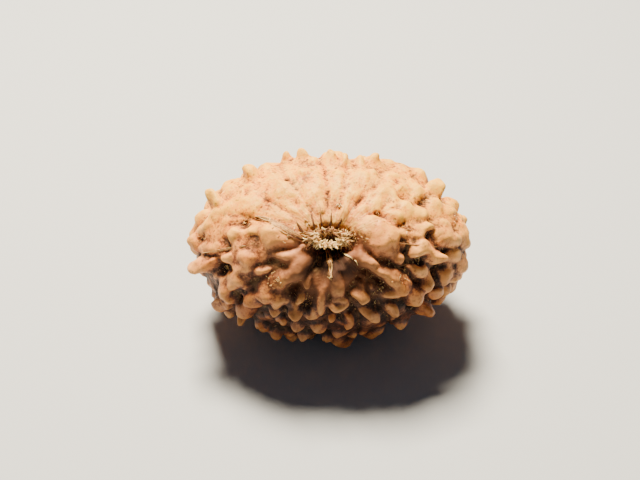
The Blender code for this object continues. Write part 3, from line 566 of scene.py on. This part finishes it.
def pointsOf(piece):
    flat = np.empty(3 * len(piece.data.vertices))
    piece.data.vertices.foreach_get("co", flat)
    return flat.reshape(-1, 3)


def setPoints(piece, points):
    piece.data.vertices.foreach_set("co", np.ascontiguousarray(points, dtype=float).ravel())
    piece.data.update()


def setAttribute(piece, name, values):
    kind = "FLOAT" if values.ndim == 1 else "FLOAT_VECTOR"
    made = piece.data.attributes.new(name, kind, "POINT")
    made.data.foreach_set("value" if values.ndim == 1 else "vector", values.astype(np.float32).ravel())


def soften(values, links, times):  # averages each vertex with its neighbours
    first, second = links.T
    size = len(values)
    count = np.bincount(links.ravel(), minlength=size)
    for _ in range(times):
        total = [
            np.bincount(first, column[second], size) + np.bincount(second, column[first], size)
            for column in values.T
        ]
        values = np.stack(total, axis=1) / count[:, None]
    return values


def applyModifier(piece, kind, settings):
    made = piece.modifiers.new(kind.lower(), kind)
    for name, value in settings.items():
        setattr(made, name, value)
    bpy.context.view_layer.objects.active = piece
    bpy.ops.object.modifier_apply(modifier=made.name)


def copyOf(blank, points):
    made = blank.copy()
    made.data = blank.data.copy()
    bpy.context.collection.objects.link(made)
    setPoints(made, points)
    return made


def joined(parts, name):
    bpy.ops.object.select_all(action="DESELECT")
    for part in parts:
        part.select_set(True)
    bpy.context.view_layer.objects.active = parts[0]
    bpy.ops.object.join()
    piece = bpy.context.view_layer.objects.active
    piece.name = name
    bpy.ops.object.select_all(action="DESELECT")
    print(name, "joined:", len(parts), "parts,", len(piece.data.polygons), "faces")
    return piece


def linksOf(piece):
    links = np.empty(2 * len(piece.data.edges), int)
    piece.data.edges.foreach_get("vertices", links)
    return links.reshape(-1, 2)


def webbed(points, links):
    times = round(2 * (stoneForm["webWidth"] / stoneForm["voxel"]) ** 2)
    normals = unit(unit(points / half) / half)
    hollow = ((soften(points, links, times) - points) * normals).sum(axis=1)
    return points + stoneForm["webShare"] * normals * np.maximum(hollow, 0)[:, None]


def carve(piece):
    form = stoneForm
    links = linksOf(piece)
    points = webbed(pointsOf(piece), links)
    for stray in form["skinStray"]:
        points = wander(points, *stray)
    directions, normals, _, cut, distance, spread = lobesAt(points)
    surface = directions * half
    ragged = wander(surface, *form["pitRagged"])
    height = ((points - surface) * normals).sum(axis=1)
    farSide = ease(-directions[:, 2], 0, 0.3)
    groove = cut * np.exp(-((distance / form["grooveWidth"] / (1 + form["farWider"] * farSide)) ** 2))
    knobby = ease(height, *form["knobHeights"])
    fill, farLess = form["knobsFill"]
    change = -groove * form["grooveDepth"] * (1 + farSide) * (1 - (fill - farLess * farSide) * knobby)
    valleyDepth, valleyWidth = form["farValley"]
    change -= valleyDepth * farSide * cut * np.exp(-((distance / valleyWidth) ** 2))
    for across, down, depth, length, width, turn in pits:
        foot, normal, heading, *_ = seenKnob(across, down, form["pitRim"], length, width, turn)
        offset = ragged - foot
        along = 2 * offset @ heading / length
        beside = 2 * offset @ np.cross(normal, heading) / width
        facing = normals @ normal > 0.5
        change -= facing * form["pitShare"] * depth * np.exp(-0.9 * (along**2 + beside**2) ** 1.3)
    for (pitLength, pitWidth, depth), end in ((form["stalkPit"], 1), (form["farPit"], -1)):
        away = np.hypot(surface[:, 0] / pitLength, surface[:, 1] / pitWidth)
        change -= (surface[:, 2] * end > 0) * depth * np.exp(-0.9 * away**6)
    change += bumps(points, form["skinBumps"])

    # radial wrinkles fan out from the stalk, and low places between the smooth knobs are rough
    swing = directions[:, :2] / np.maximum(spread, 1e-4)[:, None]
    flowRound, flowOut = form["flowScale"]
    flow = np.column_stack([swing * flowRound, spread * flowOut + directions[:, 2]])
    begins, ends, heights, sides = form["fan"]
    fan = ease(spread, *begins) * (1 - ease(spread, *ends)) * (1 - ease(height, *heights))
    fan *= ease(swing[:, 1], *sides)
    change += fan * bumps(flow, form["wrinkles"])
    change += (0.25 + 0.75 * (1 - knobby)) * bumps(points, form["grain"])
    points = points + normals * change[:, None]

    points = points * 0.3 + soften(points, links, 1) * 0.7
    setPoints(piece, points)
    nearRounds, wideRounds = form["hollowRounds"]
    near = soften(points, links, nearRounds)
    wide = soften(near, links, wideRounds)
    seamWidth, farMore = form["seamWidth"]
    line = np.exp(-((distance / (seamWidth + farMore * farSide)) ** 2)) * np.minimum(1, 1.6 * cut)
    for name, values in {
        "hollow": ((wide - points) * normals).sum(axis=1),
        "crease": ((near - points) * normals).sum(axis=1),
        "rise": height,
        "seam": line * (1 - ease(height, *form["seamHeights"])),
        "spread": np.where(directions[:, 2] > 0, spread, 2 - spread),
        "flow": flow,
    }.items():
        setAttribute(piece, name, values)


def standInScene(piece):
    setPoints(piece, (pointsOf(piece) @ axes + middle) * mm)


def fitTo(piece, node):  # the fine shape fills the same box as the model's own solid
    low, high = (np.array(corner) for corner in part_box(node))
    points = pointsOf(piece)
    points[:, 2] = np.maximum(points[:, 2], 0)
    least, most = points.min(axis=0), points.max(axis=0)
    setPoints(piece, low + (points - least) / (most - least) * (high - low))


def makeStone():
    seen = [seenKnob(*reading) for reading in knobs]
    feet = footKnobs()
    hidden = hiddenKnobs(seen + feet)
    bpy.ops.mesh.primitive_ico_sphere_add(subdivisions=6)
    body = bpy.context.object
    start = half * unit(pointsOf(body))
    _, normals, level, *_ = lobesAt(start)
    setPoints(body, start + normals * level[:, None])
    bpy.ops.mesh.primitive_ico_sphere_add(subdivisions=3)
    blank = bpy.context.object
    ball = unit(pointsOf(blank))
    parts = [body] + [copyOf(blank, knobPoints(ball, knob)) for knob in aboveFloor(seen + hidden) + feet]
    bpy.data.objects.remove(blank)
    piece = joined(parts, "seedShell")
    applyModifier(piece, "REMESH", {"mode": "VOXEL", "voxel_size": stoneForm["voxel"]})
    applyModifier(piece, "SMOOTH", {"factor": 0.5, "iterations": stoneForm["softening"]})
    carve(piece)
    share = min(1, stoneForm["triangles"] / (2 * len(piece.data.polygons)))
    applyModifier(piece, "DECIMATE", {"ratio": share, "use_collapse_triangulate": True})
    standInScene(piece)
    fitTo(piece, "seed_stone")
    piece.data.shade_smooth()
    print("stone finished:", len(piece.data.polygons), "triangles")
    return piece


# the frayed ring of fibre in the pit
fibreLook = {
    "centre": (-0.12, 0.3),
    "ring": (1.25, 0.62),  # middle line: half length, half width
    "thickness": 0.34,
    "heft": (0.5, 0.55),  # thickness behind and in front, and what the two ends add
    "level": 8.7,
    "bumps": [(0.34, 0.16, 5), (0.13, 0.11, 6), (0.06, 0.05, 7)],  # noise width, how far, seed
    "felted": 200,
    "upright": 40,
    "fallen": 60,
    "crumbs": 110,
    "widths": (0.035, 0.10),
    "crumbSize": (0.05, 0.13),
    "backDarker": 0.35,
    "frontPaler": 0.3,
    # colours from a dark strand, tone 0, to a pale one, tone 1
    "tones": [
        (0.0, (0.08, 0.027, 0.012)),
        (0.3, (0.32, 0.12, 0.04)),
        (0.6, (0.66, 0.37, 0.13)),
        (1.0, (0.95, 0.73, 0.34)),
    ],
    "mottleCell": 0.0004,  # metres, as is the next
    "grainCell": 0.00012,
    "relief": 0.00004,
}


def fibreBlank():  # a thin five-sided rod with rings to bend it at
    bpy.ops.mesh.primitive_cylinder_add(vertices=5, depth=1)
    blank = bpy.context.object
    bpy.ops.object.mode_set(mode="EDIT")
    for place in np.linspace(-0.5, 0.5, 9)[1:-1]:
        bpy.ops.mesh.select_all(action="SELECT")
        bpy.ops.mesh.bisect(plane_co=(0, 0, place), plane_no=(0, 0, 1))
    bpy.ops.object.mode_set(mode="OBJECT")
    return blank


def bent(blankPoints, path, width, taper):  # the rod laid along a path of points
    path = np.array(path)
    place = blankPoints[:, 2] + 0.5
    steps = np.linspace(0, 1, len(path))

    def between(values):
        return np.stack([np.interp(place, steps, column) for column in values.T], axis=1)

    spine = between(path)
    ahead = unit(between(np.gradient(path, axis=0)) + 1e-9)
    side = unit(np.cross(ahead, [0.3, 0.5, 0.81]) + 1e-6)
    other = np.cross(ahead, side)
    size = width * (1 - taper * place**2)
    return spine + (blankPoints[:, :1] * side + blankPoints[:, 1:2] * other * 0.5) * size[:, None]


def curved(start, run, bow, arch, sink, count):  # a path that runs off, bows aside, arches and sinks
    return [
        start + run * t + bow * t * t + [0, 0, arch * sin(pi * t) - sink * t * t]
        for t in np.linspace(0, 1, count)
    ]


def toned(piece, tone):
    setAttribute(piece, "tone", np.full(len(piece.data.vertices), tone))
    return piece


def lumpBlank():
    bpy.ops.mesh.primitive_ico_sphere_add(subdivisions=2)
    return bpy.context.object


def lump(blank, random, spot, size, tone):  # an uneven crumb, turned at random
    ball = pointsOf(blank)
    sizes = size * np.array([1, random.uniform(0.5, 1), random.uniform(0.4, 0.8)])
    turn = np.linalg.qr(random.standard_normal((3, 3)))[0]
    turn *= np.sign(np.linalg.det(turn))
    uneven = 1 + 0.4 * noise(ball + random.uniform(0, 40, 3), 0.8, 3)
    return toned(copyOf(blank, (ball * uneven[:, None] * sizes) @ turn + spot), tone)


def heftAt(across):  # how thick the ring is, thickest at its two ends
    least, more = fibreLook["heft"]
    return least + more * (across * across)


def makeTuft(blank, crumb):
    look = fibreLook
    random = np.random.default_rng(31)
    uniform = random.uniform
    rod = pointsOf(blank)
    length, width = look["ring"]
    tube = 0.3
    bpy.ops.mesh.primitive_torus_add(major_segments=150, minor_segments=30, minor_radius=tube)
    core = bpy.context.object
    points = pointsOf(core)
    flat = unit(points * [1, 1, 0])
    off = (points - flat) * look["thickness"] / tube * heftAt(flat[:, :1])
    points = flat * [length, width, 0] + off * [1, 1, 1.1] + [0, 0, look["level"]]
    swell = bumps(points, look["bumps"])
    setPoints(core, points + unit(off) * swell[:, None])
    back = np.clip(flat[:, 1], 0, 1) * look["backDarker"] + np.clip(flat[:, 1], -1, 0) * look["frontPaler"]
    tone = 0.4 + 1.2 * swell / 0.2 + 0.35 * noise(points, 0.2, 8) - back  # pale on what stands out
    setAttribute(core, "tone", np.clip(tone, 0.02, 1))
    parts = [core]

    def ringSpot(angle, out, up):
        heft = look["thickness"] * heftAt(cos(angle))
        return np.array([
            (length + heft * out) * cos(angle),
            (width + heft * out) * sin(angle),
            look["level"] + heft * up,
        ])

    def addFibre(path, thinner, taper, tone):
        size = uniform(*look["widths"]) * thinner
        parts.append(toned(copyOf(blank, bent(rod, path, size, taper)), tone))

    for _ in range(look["felted"]):  # short fibres lying every way over the ring
        angle, out = uniform(0, tau), uniform(-1, 1.25)
        start = ringSpot(angle, out, 1.15 * sqrt(max(0, 1 - (out * 0.8) ** 2)) - 0.1)
        heading = uniform(0, tau)
        run = np.array([cos(heading), sin(heading), uniform(-0.5, 0.45)])
        side = np.array([-run[1], run[0], 0]) * uniform(-0.5, 0.5)
        far = uniform(0.15, 0.5)
        tone = max(0.05, uniform(0.3, 1) - look["backDarker"] * sin(angle))
        addFibre(curved(start, run * far, side * far, 0.1, 0, 6), 1, 0.5, tone)
    for number in range(look["upright"]):  # a ragged wall, highest at the front
        angle = random.normal(-pi / 2, 0.8) if number % 3 else uniform(0, tau)
        start = ringSpot(angle, uniform(-0.3, 1.1), -0.2)
        away = np.array([cos(angle), sin(angle), 0])
        side = np.array([-away[1], away[0], 0])
        lean = away * uniform(-0.25, 0.35) + side * uniform(-0.3, 0.3)
        rise = np.array([0, 0, uniform(0.35, 0.75)])
        addFibre(curved(start, rise, lean, 0, 0, 6), 1.25, 0.3, uniform(0.6, 1))
    for _ in range(look["fallen"]):  # longer ones that hang over the two ends
        angle = random.choice([0.1, pi - 0.1]) + random.normal(0, 0.5)
        start = ringSpot(angle, uniform(0, 1), 0.6)
        away = np.array([cos(angle), sin(angle) * 0.8, 0])
        side = np.array([-away[1], away[0], 0])
        far = uniform(0.3, 1.2)
        slip = side * uniform(-0.8, 0.8)
        addFibre(curved(start, away * far, slip, 0.25, 0.4, 7), 0.8, 0.6, uniform(0.15, 1))
    for _ in range(look["crumbs"]):
        spot = ringSpot(uniform(0, tau), uniform(-1, 1.7), uniform(0.4, 1.1))
        parts.append(lump(crumb, random, spot, uniform(*look["crumbSize"]), uniform(0.3, 1)))
    piece = joined(parts, "stalkTuft")
    setPoints(piece, pointsOf(piece) + [*look["centre"], 0])
    standInScene(piece)
    piece.data.shade_smooth()
    return piece


# strands lying on the stone: from pixel, to pixel, how many, how far apart, thickness in mm, tone
strands = [
 (258, 217, 276, 222, 10, 2.4, 0.06, 0.65),
 (270, 221, 300, 238, 20, 2.8, 0.07, 0.6),
 (276, 222, 298, 236, 8, 2, 0.05, 0.3),
 (328, 250, 330, 266, 12, 2.6, 0.06, 0.4),
 (330, 260, 331.5, 276, 7, 2.4, 0.055, 0.55),
 (320, 250, 318, 264, 7, 3, 0.03, 0.25),
 (336, 250, 339, 262, 6, 2.4, 0.03, 0.2),
 (315, 230, 311, 214, 4, 0.7, 0.10, 0),
 (322, 228, 321, 213, 4, 0.7, 0.10, 0),
 (329, 227, 331, 214, 3, 0.7, 0.09, 0.02),
 (337, 228, 342, 218, 3, 0.8, 0.08, 0.05),
 (304, 233, 297, 222, 3, 0.8, 0.07, 0.05),
 (288, 233, 305, 240, 10, 3, 0.06, 0.1),
 (344, 254, 353, 259.5, 4, 0.8, 0.08, 0.95),
 (355, 260, 358, 264, 2, 0.8, 0.09, 0.9),
 (203, 253, 246, 245.5, 4, 0.8, 0.035, 0.65),
 (399, 243, 440, 247, 3, 1, 0.03, 0.5),
]
# loose heaps of short fibres and crumbs: pixel, how many, how far they spread in pixels, tone
clumps = [
 (309, 237, 75, 3.6, 0.9),
 (352, 236, 50, 4.2, 0.7),
 (345, 244, 26, 3.2, 0.2),
 (309, 246, 34, 3.4, 0.3),
 (328, 235, 24, 2.6, 0.5),
 (272, 222.5, 16, 2.4, 0.65),
 (282, 227.5, 18, 2.2, 0.75),
 (292, 233, 20, 2.4, 0.8),
 (288, 236, 12, 4.5, 0.7),
 (307, 224, 8, 1.6, 0.9),
 (340, 205.5, 28, 1.5, 0.85),
 (331, 277, 9, 1.2, 0.95),
 (364, 240, 16, 2.8, 0.35),
 (378, 214, 12, 3, 0.45),
 (421, 196, 14, 3.5, 0.4),
 (417, 260, 18, 2.2, 0.85),
 (228, 268, 14, 2.4, 0.75),
 (380, 288, 16, 3, 0.7),
 (402, 276, 22, 4, 0.6),
 (276, 282, 30, 4.5, 0.6),
 (305, 302, 24, 4.5, 0.5),
 (246, 224, 14, 2.4, 0.7),
 (206, 237, 10, 2.6, 0.6),
 (408, 230, 14, 2.6, 0.65),
 (455, 221, 10, 2.4, 0.6),
]
# scattered in low places all round: how many strands and crumbs, and their sizes in mm
litter = {
    "strands": 110,
    "strandWidth": 0.03,
    "strandLength": (0.3, 0.9),
    "crumbs": 260,
    "crumbSize": (0.03, 0.10),
    "clumpWidth": (0.02, 0.06),
    "clumpLength": (0.12, 0.45),
    "clumpCrumb": (0.035, 0.09),
    "lowPlaces": 0.2,  # this far under the skin around them
}


def layOn(surface, path, lift):  # the stone's skin behind these pixels, and a little over it
    seenFrom = Vector((eyeSpot + middle) * mm)
    laid = []
    for across, down in path:
        hit, normal, *_ = surface.ray_cast(seenFrom, Vector(unit(rayAt(across, down))))
        if hit:
            laid.append(np.array(hit + normal * lift * mm))
    return np.array(laid)


def makeLitter(blank, crumb, stone):
    random = np.random.default_rng(57)
    uniform = random.uniform
    rod = pointsOf(blank)
    surface = BVHTree.FromObject(stone, bpy.context.evaluated_depsgraph_get())
    parts = []

    def strandAlong(path, width, tone):
        path[1:-1] = path[1:-1] * 0.5 + (path[:-2] + path[2:]) * 0.25
        parts.append(toned(copyOf(blank, bent(rod, path, width * mm, 0.5)), tone))

    for fromAcross, fromDown, toAcross, toDown, count, apart, width, tone in strands:
        for _ in range(count):
            starts = np.array([fromAcross, fromDown]) + random.normal(0, apart * 0.5, 2)
            ends = np.array([toAcross, toDown]) + random.normal(0, apart * 0.5, 2)
            sway = random.normal(0, apart * 0.6, 2)
            run = ends - starts
            path = [starts + run * t + sway * sin(pi * t) for t in np.linspace(0, 1, 9)]
            laid = layOn(surface, path, uniform(0.3, 1.6) * width)
            if len(laid) > 4:
                thick = width * uniform(0.6, 1.2)
                strandAlong(laid, thick, np.clip(tone + random.normal(0, 0.15), 0, 1))

    for across, down, count, apart, tone in clumps:
        for number in range(count):
            pixel = np.array([across, down]) + random.normal(0, apart, 2)
            spots = layOn(surface, [pixel], uniform(0, 0.12))
            if not len(spots):
                continue
            shade = np.clip(tone + random.normal(0, 0.2), 0, 1)
            if number % 3 == 0:
                size = uniform(*litter["clumpCrumb"]) * mm
                parts.append(lump(crumb, random, spots[0], size, shade))
                continue
            run = unit(random.standard_normal(3)) * uniform(*litter["clumpLength"]) * mm
            curl = np.cross(run, random.standard_normal(3)) * 0.5
            path = np.array([spots[0] + run * t + curl * t * t for t in np.linspace(-0.5, 0.5, 6)])
            strandAlong(path, uniform(*litter["clumpWidth"]), shade)

    points = pointsOf(stone)
    hollow = np.empty(len(points), np.float32)
    stone.data.attributes["hollow"].data.foreach_get("value", hollow)
    low = np.flatnonzero(hollow > litter["lowPlaces"])
    for _ in range(litter["strands"]):
        start = points[random.choice(low)]
        heading = unit(random.standard_normal(3))
        length = uniform(*litter["strandLength"]) * mm
        path = []
        for t in np.linspace(-0.5, 0.5, 7):
            spot, normal, *_ = surface.find_nearest(Vector(start + heading * length * t))
            path.append(np.array(spot + normal * litter["strandWidth"] * 0.8 * mm))
        strandAlong(np.array(path), litter["strandWidth"] * uniform(0.6, 1.3), uniform(0, 1))
    for _ in range(litter["crumbs"]):
        spot, *_ = surface.find_nearest(Vector(points[random.choice(low)]))
        size = uniform(*litter["crumbSize"]) * mm
        parts.append(lump(crumb, random, np.array(spot), size, uniform(0, 0.75)))
    piece = joined(parts, "driedPulp")
    piece.data.shade_smooth()
    return piece


# materials
class Wire:  # a socket that adds Math nodes when it is used in a sum
    def __init__(self, tree, socket=None):
        self.tree = tree
        self.socket = socket

    def node(self, kind, settings, sockets, out=0):
        made = self.tree.nodes.new("ShaderNode" + kind)
        for name, value in settings.items():
            if name == "stops":
                for _ in range(len(value) - 2):
                    made.color_ramp.elements.new(0.5)
                for element, (place, color) in zip(made.color_ramp.elements, value):
                    element.position = place
                    element.color = (*color, 1)
            else:
                setattr(made, name, value)
        for name, value in sockets.items():
            if isinstance(value, Wire):
                self.tree.links.new(value.socket, made.inputs[name])
            else:
                made.inputs[name].default_value = value
        return Wire(self.tree, made.outputs[out])

    def math(self, operation, first, second):
        return self.node("Math", {"operation": operation}, {0: first, 1: second})

    def __add__(self, other):
        return self.math("ADD", self, other)

    def __sub__(self, other):
        return self.math("SUBTRACT", self, other)

    def __rsub__(self, other):
        return self.math("SUBTRACT", other, self)

    def __mul__(self, other):
        return self.math("MULTIPLY", self, other)

    __radd__, __rmul__ = __add__, __mul__

    def ease(self, low, high):  # 0 below low, 1 above high, eased
        return self.node("MapRange", {"interpolation_type": "SMOOTHSTEP"}, {0: self, 1: low, 2: high})

    def mixed(self, factor, first, second, blend="MIX"):
        colors = [value if isinstance(value, Wire) else (*value, 1) for value in (first, second)]
        settings = {"data_type": "RGBA", "blend_type": blend, "clamp_factor": True}
        return self.node("Mix", settings, {0: factor, 6: colors[0], 7: colors[1]}, 2)

    def noise(self, spot, scale, detail=2.0, rough=0.5):
        values = {"Vector": spot, "Scale": scale, "Detail": detail, "Roughness": rough}
        return self.node("TexNoise", {}, values)

    def attribute(self, name, out="Fac"):
        return self.node("Attribute", {"attribute_name": name}, {}, out)

    def bump(self, height, distance, strength):
        return self.node("Bump", {}, {"Height": height, "Distance": distance, "Strength": strength})


def newMaterial(name):
    material = bpy.data.materials.new(name)
    material.use_nodes = True
    shader = material.node_tree.nodes["Principled BSDF"]
    return material, shader, Wire(material.node_tree)


def feed(shader, name, wire):
    wire.tree.links.new(wire.socket, shader.inputs[name])


shellLook = {
    # from the tips of the knobs down to the deepest gaps, partly painted shade: place, painted shaded
    # skin, painted lit skin
    "depths": [
        (0.0, (1.0, 0.47, 0.15), (1.0, 0.53, 0.05)),
        (0.32, (0.82, 0.35, 0.13), (0.95, 0.365, 0.025)),
        (0.62, (0.25, 0.107, 0.058), (0.52, 0.185, 0.03)),
        (0.85, (0.07, 0.03, 0.02), (0.10, 0.037, 0.017)),
        (1.0, (0.025, 0.01, 0.006), (0.03, 0.011, 0.006)),
    ],
    # what is laid over the skin colour: marks, streaks, dust and specks, and painted shade, shadow and
    # glint
    "broad": (0.66, 0.56, 0.46),
    "blotches": (0.27, 0.115, 0.05),
    "blush": (0.80, 0.40, 0.16),
    "stalkSide": (0.74, 0.265, 0.09),
    "rim": (0.16, 0.05, 0.03),
    # painted shade below the stalk
    "under": (0.21, 0.078, 0.034),
    # painted shadow: near black in the gap below the stalk
    "gap": (0.026, 0.011, 0.008),
    "darkStreaks": (0.30, 0.12, 0.05),
    "paleStreaks": (0.85, 0.6, 0.36),
    "seams": (0.17, 0.06, 0.022),
    "dust": (0.36, 0.21, 0.10),
    "dots": (0.13, 0.045, 0.02),
    "specks": (0.09, 0.035, 0.017),
    "straw": (0.62, 0.40, 0.17),
    # painted shade: the lower side towards the floor is darkened
    "earth": (0.42, 0.40, 0.46),
    # painted shade: the far side is darkened
    "farSide": (0.38, 0.32, 0.27),
    "glint": (1.0, 0.62, 0.13),
    "cells": {  # how large the patterns are, in metres
        "patches": 0.005,
        "broad": 0.003,
        "mottle": 0.0016,
        "blotches": 0.0009,
        "dots": 0.00065,
        "glint": 0.00045,
        "specks": 0.00038,
        "straw": 0.00028,
        "grain": 0.00022,
    },
    "shine": 0.25,
    "relief": 0.00018,
}


def shellMaterial():
    look = shellLook
    material, shader, wire = newMaterial("seedShell")
    spot = wire.node("TexCoord", {}, {}, "Object")
    flow = wire.attribute("flow", "Vector")
    names = ("hollow", "crease", "rise", "seam", "spread")
    hollow, crease, rise, seam, spread = (wire.attribute(name) for name in names)

    def pattern(name, detail=2.0, rough=0.5):
        return wire.noise(spot, 1 / look["cells"][name], detail, rough)

    mottle = pattern("mottle", 4.0, 0.6)
    grain = pattern("grain", 3.0, 0.6)
    patches = pattern("patches")
    streaks = wire.noise(flow, 3.0, 3.0, 0.6)

    # round the stalk: 1 straight up, -1 straight down
    flowRound = stoneForm["flowScale"][0]
    toTop = wire.node("SeparateXYZ", {}, {0: flow}, 1)
    skyward, groundward = toTop * (1 / flowRound), toTop * (-1 / flowRound)
    back = spread.ease(0.95, 1.25)
    upper = skyward.ease(-0.4, 0.7) * (1 - back)
    fanned = skyward.ease(0.35, 0.75)
    below = groundward.ease(0.3, 0.9)

    # partly painted shade, partly the darker brown of the valleys: hollows, creases, low skin, the lower
    # and far sides go darker, the upper side lighter
    lowSkin = (1 - rise.ease(0.35, 1.15)) * (0.14 - upper * 0.12 - back * 0.1)
    floorTone = lowSkin + 0.05 - upper * 0.13
    depth = hollow * (1.15 - upper * 0.5 - back * 0.25) + crease * 1.25 + below * 0.09 + floorTone
    depth = depth + (mottle - 0.5) * (0.36 + upper * 0.2) + (grain - 0.5) * (0.46 + upper * 0.34)
    level = (depth + back * 0.1).ease(-0.32, 0.36)
    # painted light: a lit copy of the skin for the upper and far sides, a painted shaded copy for the
    # lower side
    shadedSkin, litSkin = (
        wire.node("ValToRGB", {"stops": [(row[0], row[side]) for row in look["depths"]]}, {0: level})
        for side in (1, 2)
    )
    color = wire.mixed(upper + back * 0.8, shadedSkin, litSkin)

    blotches = pattern("blotches", 3.0, 0.65).ease(0.5, 0.64)
    rim = 1 - (spread + (mottle - 0.5) * 0.16 + upper * 0.02).ease(0.17, 0.33)
    # painted shade: darker reddish brown on the lower side near the stalk
    under = (1 - spread.ease(0.38, 0.8)) * below * (0.65 + mottle * 0.45)
    # painted shadow: near black close below the stalk, in the gap between the lobes
    gap = (1 - (spread + mottle * 0.1).ease(0.38, 0.56)) * groundward.ease(0.7, 0.93)
    nearStalk = (1 - spread.ease(0.3, 0.6)) * (fanned * 0.9 + 0.1)
    seams = seam.ease(0.35, 0.9) * mottle.ease(0.35, 0.6)
    dust = hollow.ease(0.02, 0.2) * (1 - hollow.ease(0.25, 0.45)) * mottle.ease(0.5, 0.62)
    dots = wire.node("TexVoronoi", {}, {"Vector": spot, "Scale": 1 / look["cells"]["dots"]})
    dots = (1 - dots.ease(0.14, 0.26)) * (mottle * 0.9 + hollow * 1.2 + upper * 0.08).ease(0.45, 0.52)
    specks = pattern("specks").ease(0.6, 0.65) * (0.5 + hollow.ease(-0.1, 0.2) * 0.5)
    inHollow = hollow.ease(0.0, 0.2)
    glint = pattern("glint", 3.0, 0.7).ease(0.5, 0.64) * 0.4
    glint = glint + (1 - streaks.ease(0.38, 0.5)) * fanned * 0.3
    for name, factor, *blend in (
        ("broad", pattern("broad").ease(0.42, 0.68) * (0.75 - upper * 0.4), "MULTIPLY"),
        ("blotches", blotches * (0.45 - upper * 0.3)),
        ("blush", patches.ease(0.45, 0.62) * 0.45, "SOFT_LIGHT"),
        ("stalkSide", (1 - spread.ease(0.26, 0.52)) * (0.3 + mottle * 0.5)),
        ("rim", rim * 0.85),
        # painted shade below the stalk
        ("under", under),
        # painted shadow in the gap below the stalk
        ("gap", gap * 0.92),
        ("darkStreaks", streaks.ease(0.53, 0.68) * nearStalk * 0.5),
        ("paleStreaks", (1 - streaks.ease(0.33, 0.47)) * nearStalk * 0.35),
        ("seams", seams * (0.65 - upper * 0.65)),
        ("dust", dust * (0.42 - upper * 0.35)),
        ("dots", dots * 0.85),
        ("specks", specks * patches.ease(0.35, 0.6) * (0.6 + upper * 0.3)),
        ("straw", pattern("straw").ease(0.62, 0.7) * inHollow * 0.55),
        # painted shade: the lower side towards the floor is darkened
        ("earth", below * spread.ease(0.5, 0.9) * (1 - back) * 0.95, "MULTIPLY"),
        # painted shade: the far side is darkened
        ("farSide", back, "MULTIPLY"),
        ("glint", glint * upper * (1 - inHollow)),
    ):
        color = wire.mixed(factor, color, look[name], *blend)
    feed(shader, "Base Color", color)
    shader.inputs["Specular IOR Level"].default_value = look["shine"]

    feed(shader, "Roughness", 0.5 + hollow.ease(-0.1, 0.25) * 0.34 + (grain - 0.5) * 0.15 + under * 0.35)
    relief = grain * (0.25 + hollow.ease(-0.05, 0.25)) + mottle * 0.4 + streaks * nearStalk * 0.5
    feed(shader, "Normal", wire.bump(relief, look["relief"], 1.0))
    return material


def fibreMaterial():
    look = fibreLook
    material, shader, wire = newMaterial("dryFibre")
    spot = wire.node("TexCoord", {}, {}, "Object")
    tone = wire.attribute("tone") + (wire.noise(spot, 1 / look["mottleCell"]) - 0.5) * 0.5
    feed(shader, "Base Color", wire.node("ValToRGB", {"stops": look["tones"]}, {0: tone}))
    feed(shader, "Roughness", 0.7 + tone * 0.15)
    grain = wire.noise(spot, 1 / look["grainCell"])
    feed(shader, "Normal", wire.bump(grain, look["relief"], 0.6))
    return material


# the scene
shell = makeStone()
shell.data.materials.clear()
shell.data.materials.append(shellMaterial())
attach(shell, "root")
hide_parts("seed_stone")

rodBlank = fibreBlank()
fibre = fibreMaterial()
crumbBlank = lumpBlank()
tuft = makeTuft(rodBlank, crumbBlank)
pulp = makeLitter(rodBlank, crumbBlank, shell)
bpy.data.objects.remove(rodBlank)
bpy.data.objects.remove(crumbBlank)
for piece in (tuft, pulp):
    piece.data.materials.clear()
    piece.data.materials.append(fibre)
    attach(piece, "root")
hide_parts("stalk_fibre_ring")
print("pieces dressed")

stageLook = {
    "floor": (0.50, 0.56, 0.66),
    "sky": (0.84, 0.91, 1),
    "skyStrength": 0.06,
    # place, size, power, colour
    "keyLight": ((-0.035, 0.095, 0.25), 0.08, 3.8, (1, 0.82, 0.56)),
    "fillLight": ((0.08, -0.30, 0.14), 0.22, 0.04, (0.97, 0.98, 1)),
}
bpy.ops.mesh.primitive_plane_add(size=3)
floor = bpy.context.object
floor.name = "floor"
material, shader, _ = newMaterial("paleFloor")
shader.inputs["Base Color"].default_value = (*stageLook["floor"], 1)
shader.inputs["Roughness"].default_value = 0.8
floor.data.materials.append(material)


def softLight(name, spot, size, power, color):
    lamp = bpy.data.lights.new(name, "AREA")
    lamp.size = size
    lamp.energy = power
    lamp.color = color
    made = bpy.data.objects.new(name, lamp)
    bpy.context.collection.objects.link(made)
    made.location = spot
    made.rotation_euler = Vector(spot).to_track_quat("Z", "Y").to_euler()


for name in ("keyLight", "fillLight"):
    softLight(name, *stageLook[name])
world = bpy.data.worlds.new("softSky")
world.use_nodes = True
sky = world.node_tree.nodes["Background"]
sky.inputs["Color"].default_value = (*stageLook["sky"], 1)
sky.inputs["Strength"].default_value = stageLook["skyStrength"]
bpy.context.scene.world = world

lens = bpy.data.cameras.new("photoView")
lens.sensor_width = 36
lens.lens = lens.sensor_width * eye["focal"] / eye["photoWidth"]
lens.clip_start = 0.002
camera = bpy.data.objects.new("photoView", lens)
bpy.context.collection.objects.link(camera)
camera.location = (eyeSpot + middle) * mm
camera.rotation_euler = (pi / 2 - eye["angle"], 0, 0)
bpy.context.scene.camera = camera
print("floor, lights and camera placed")
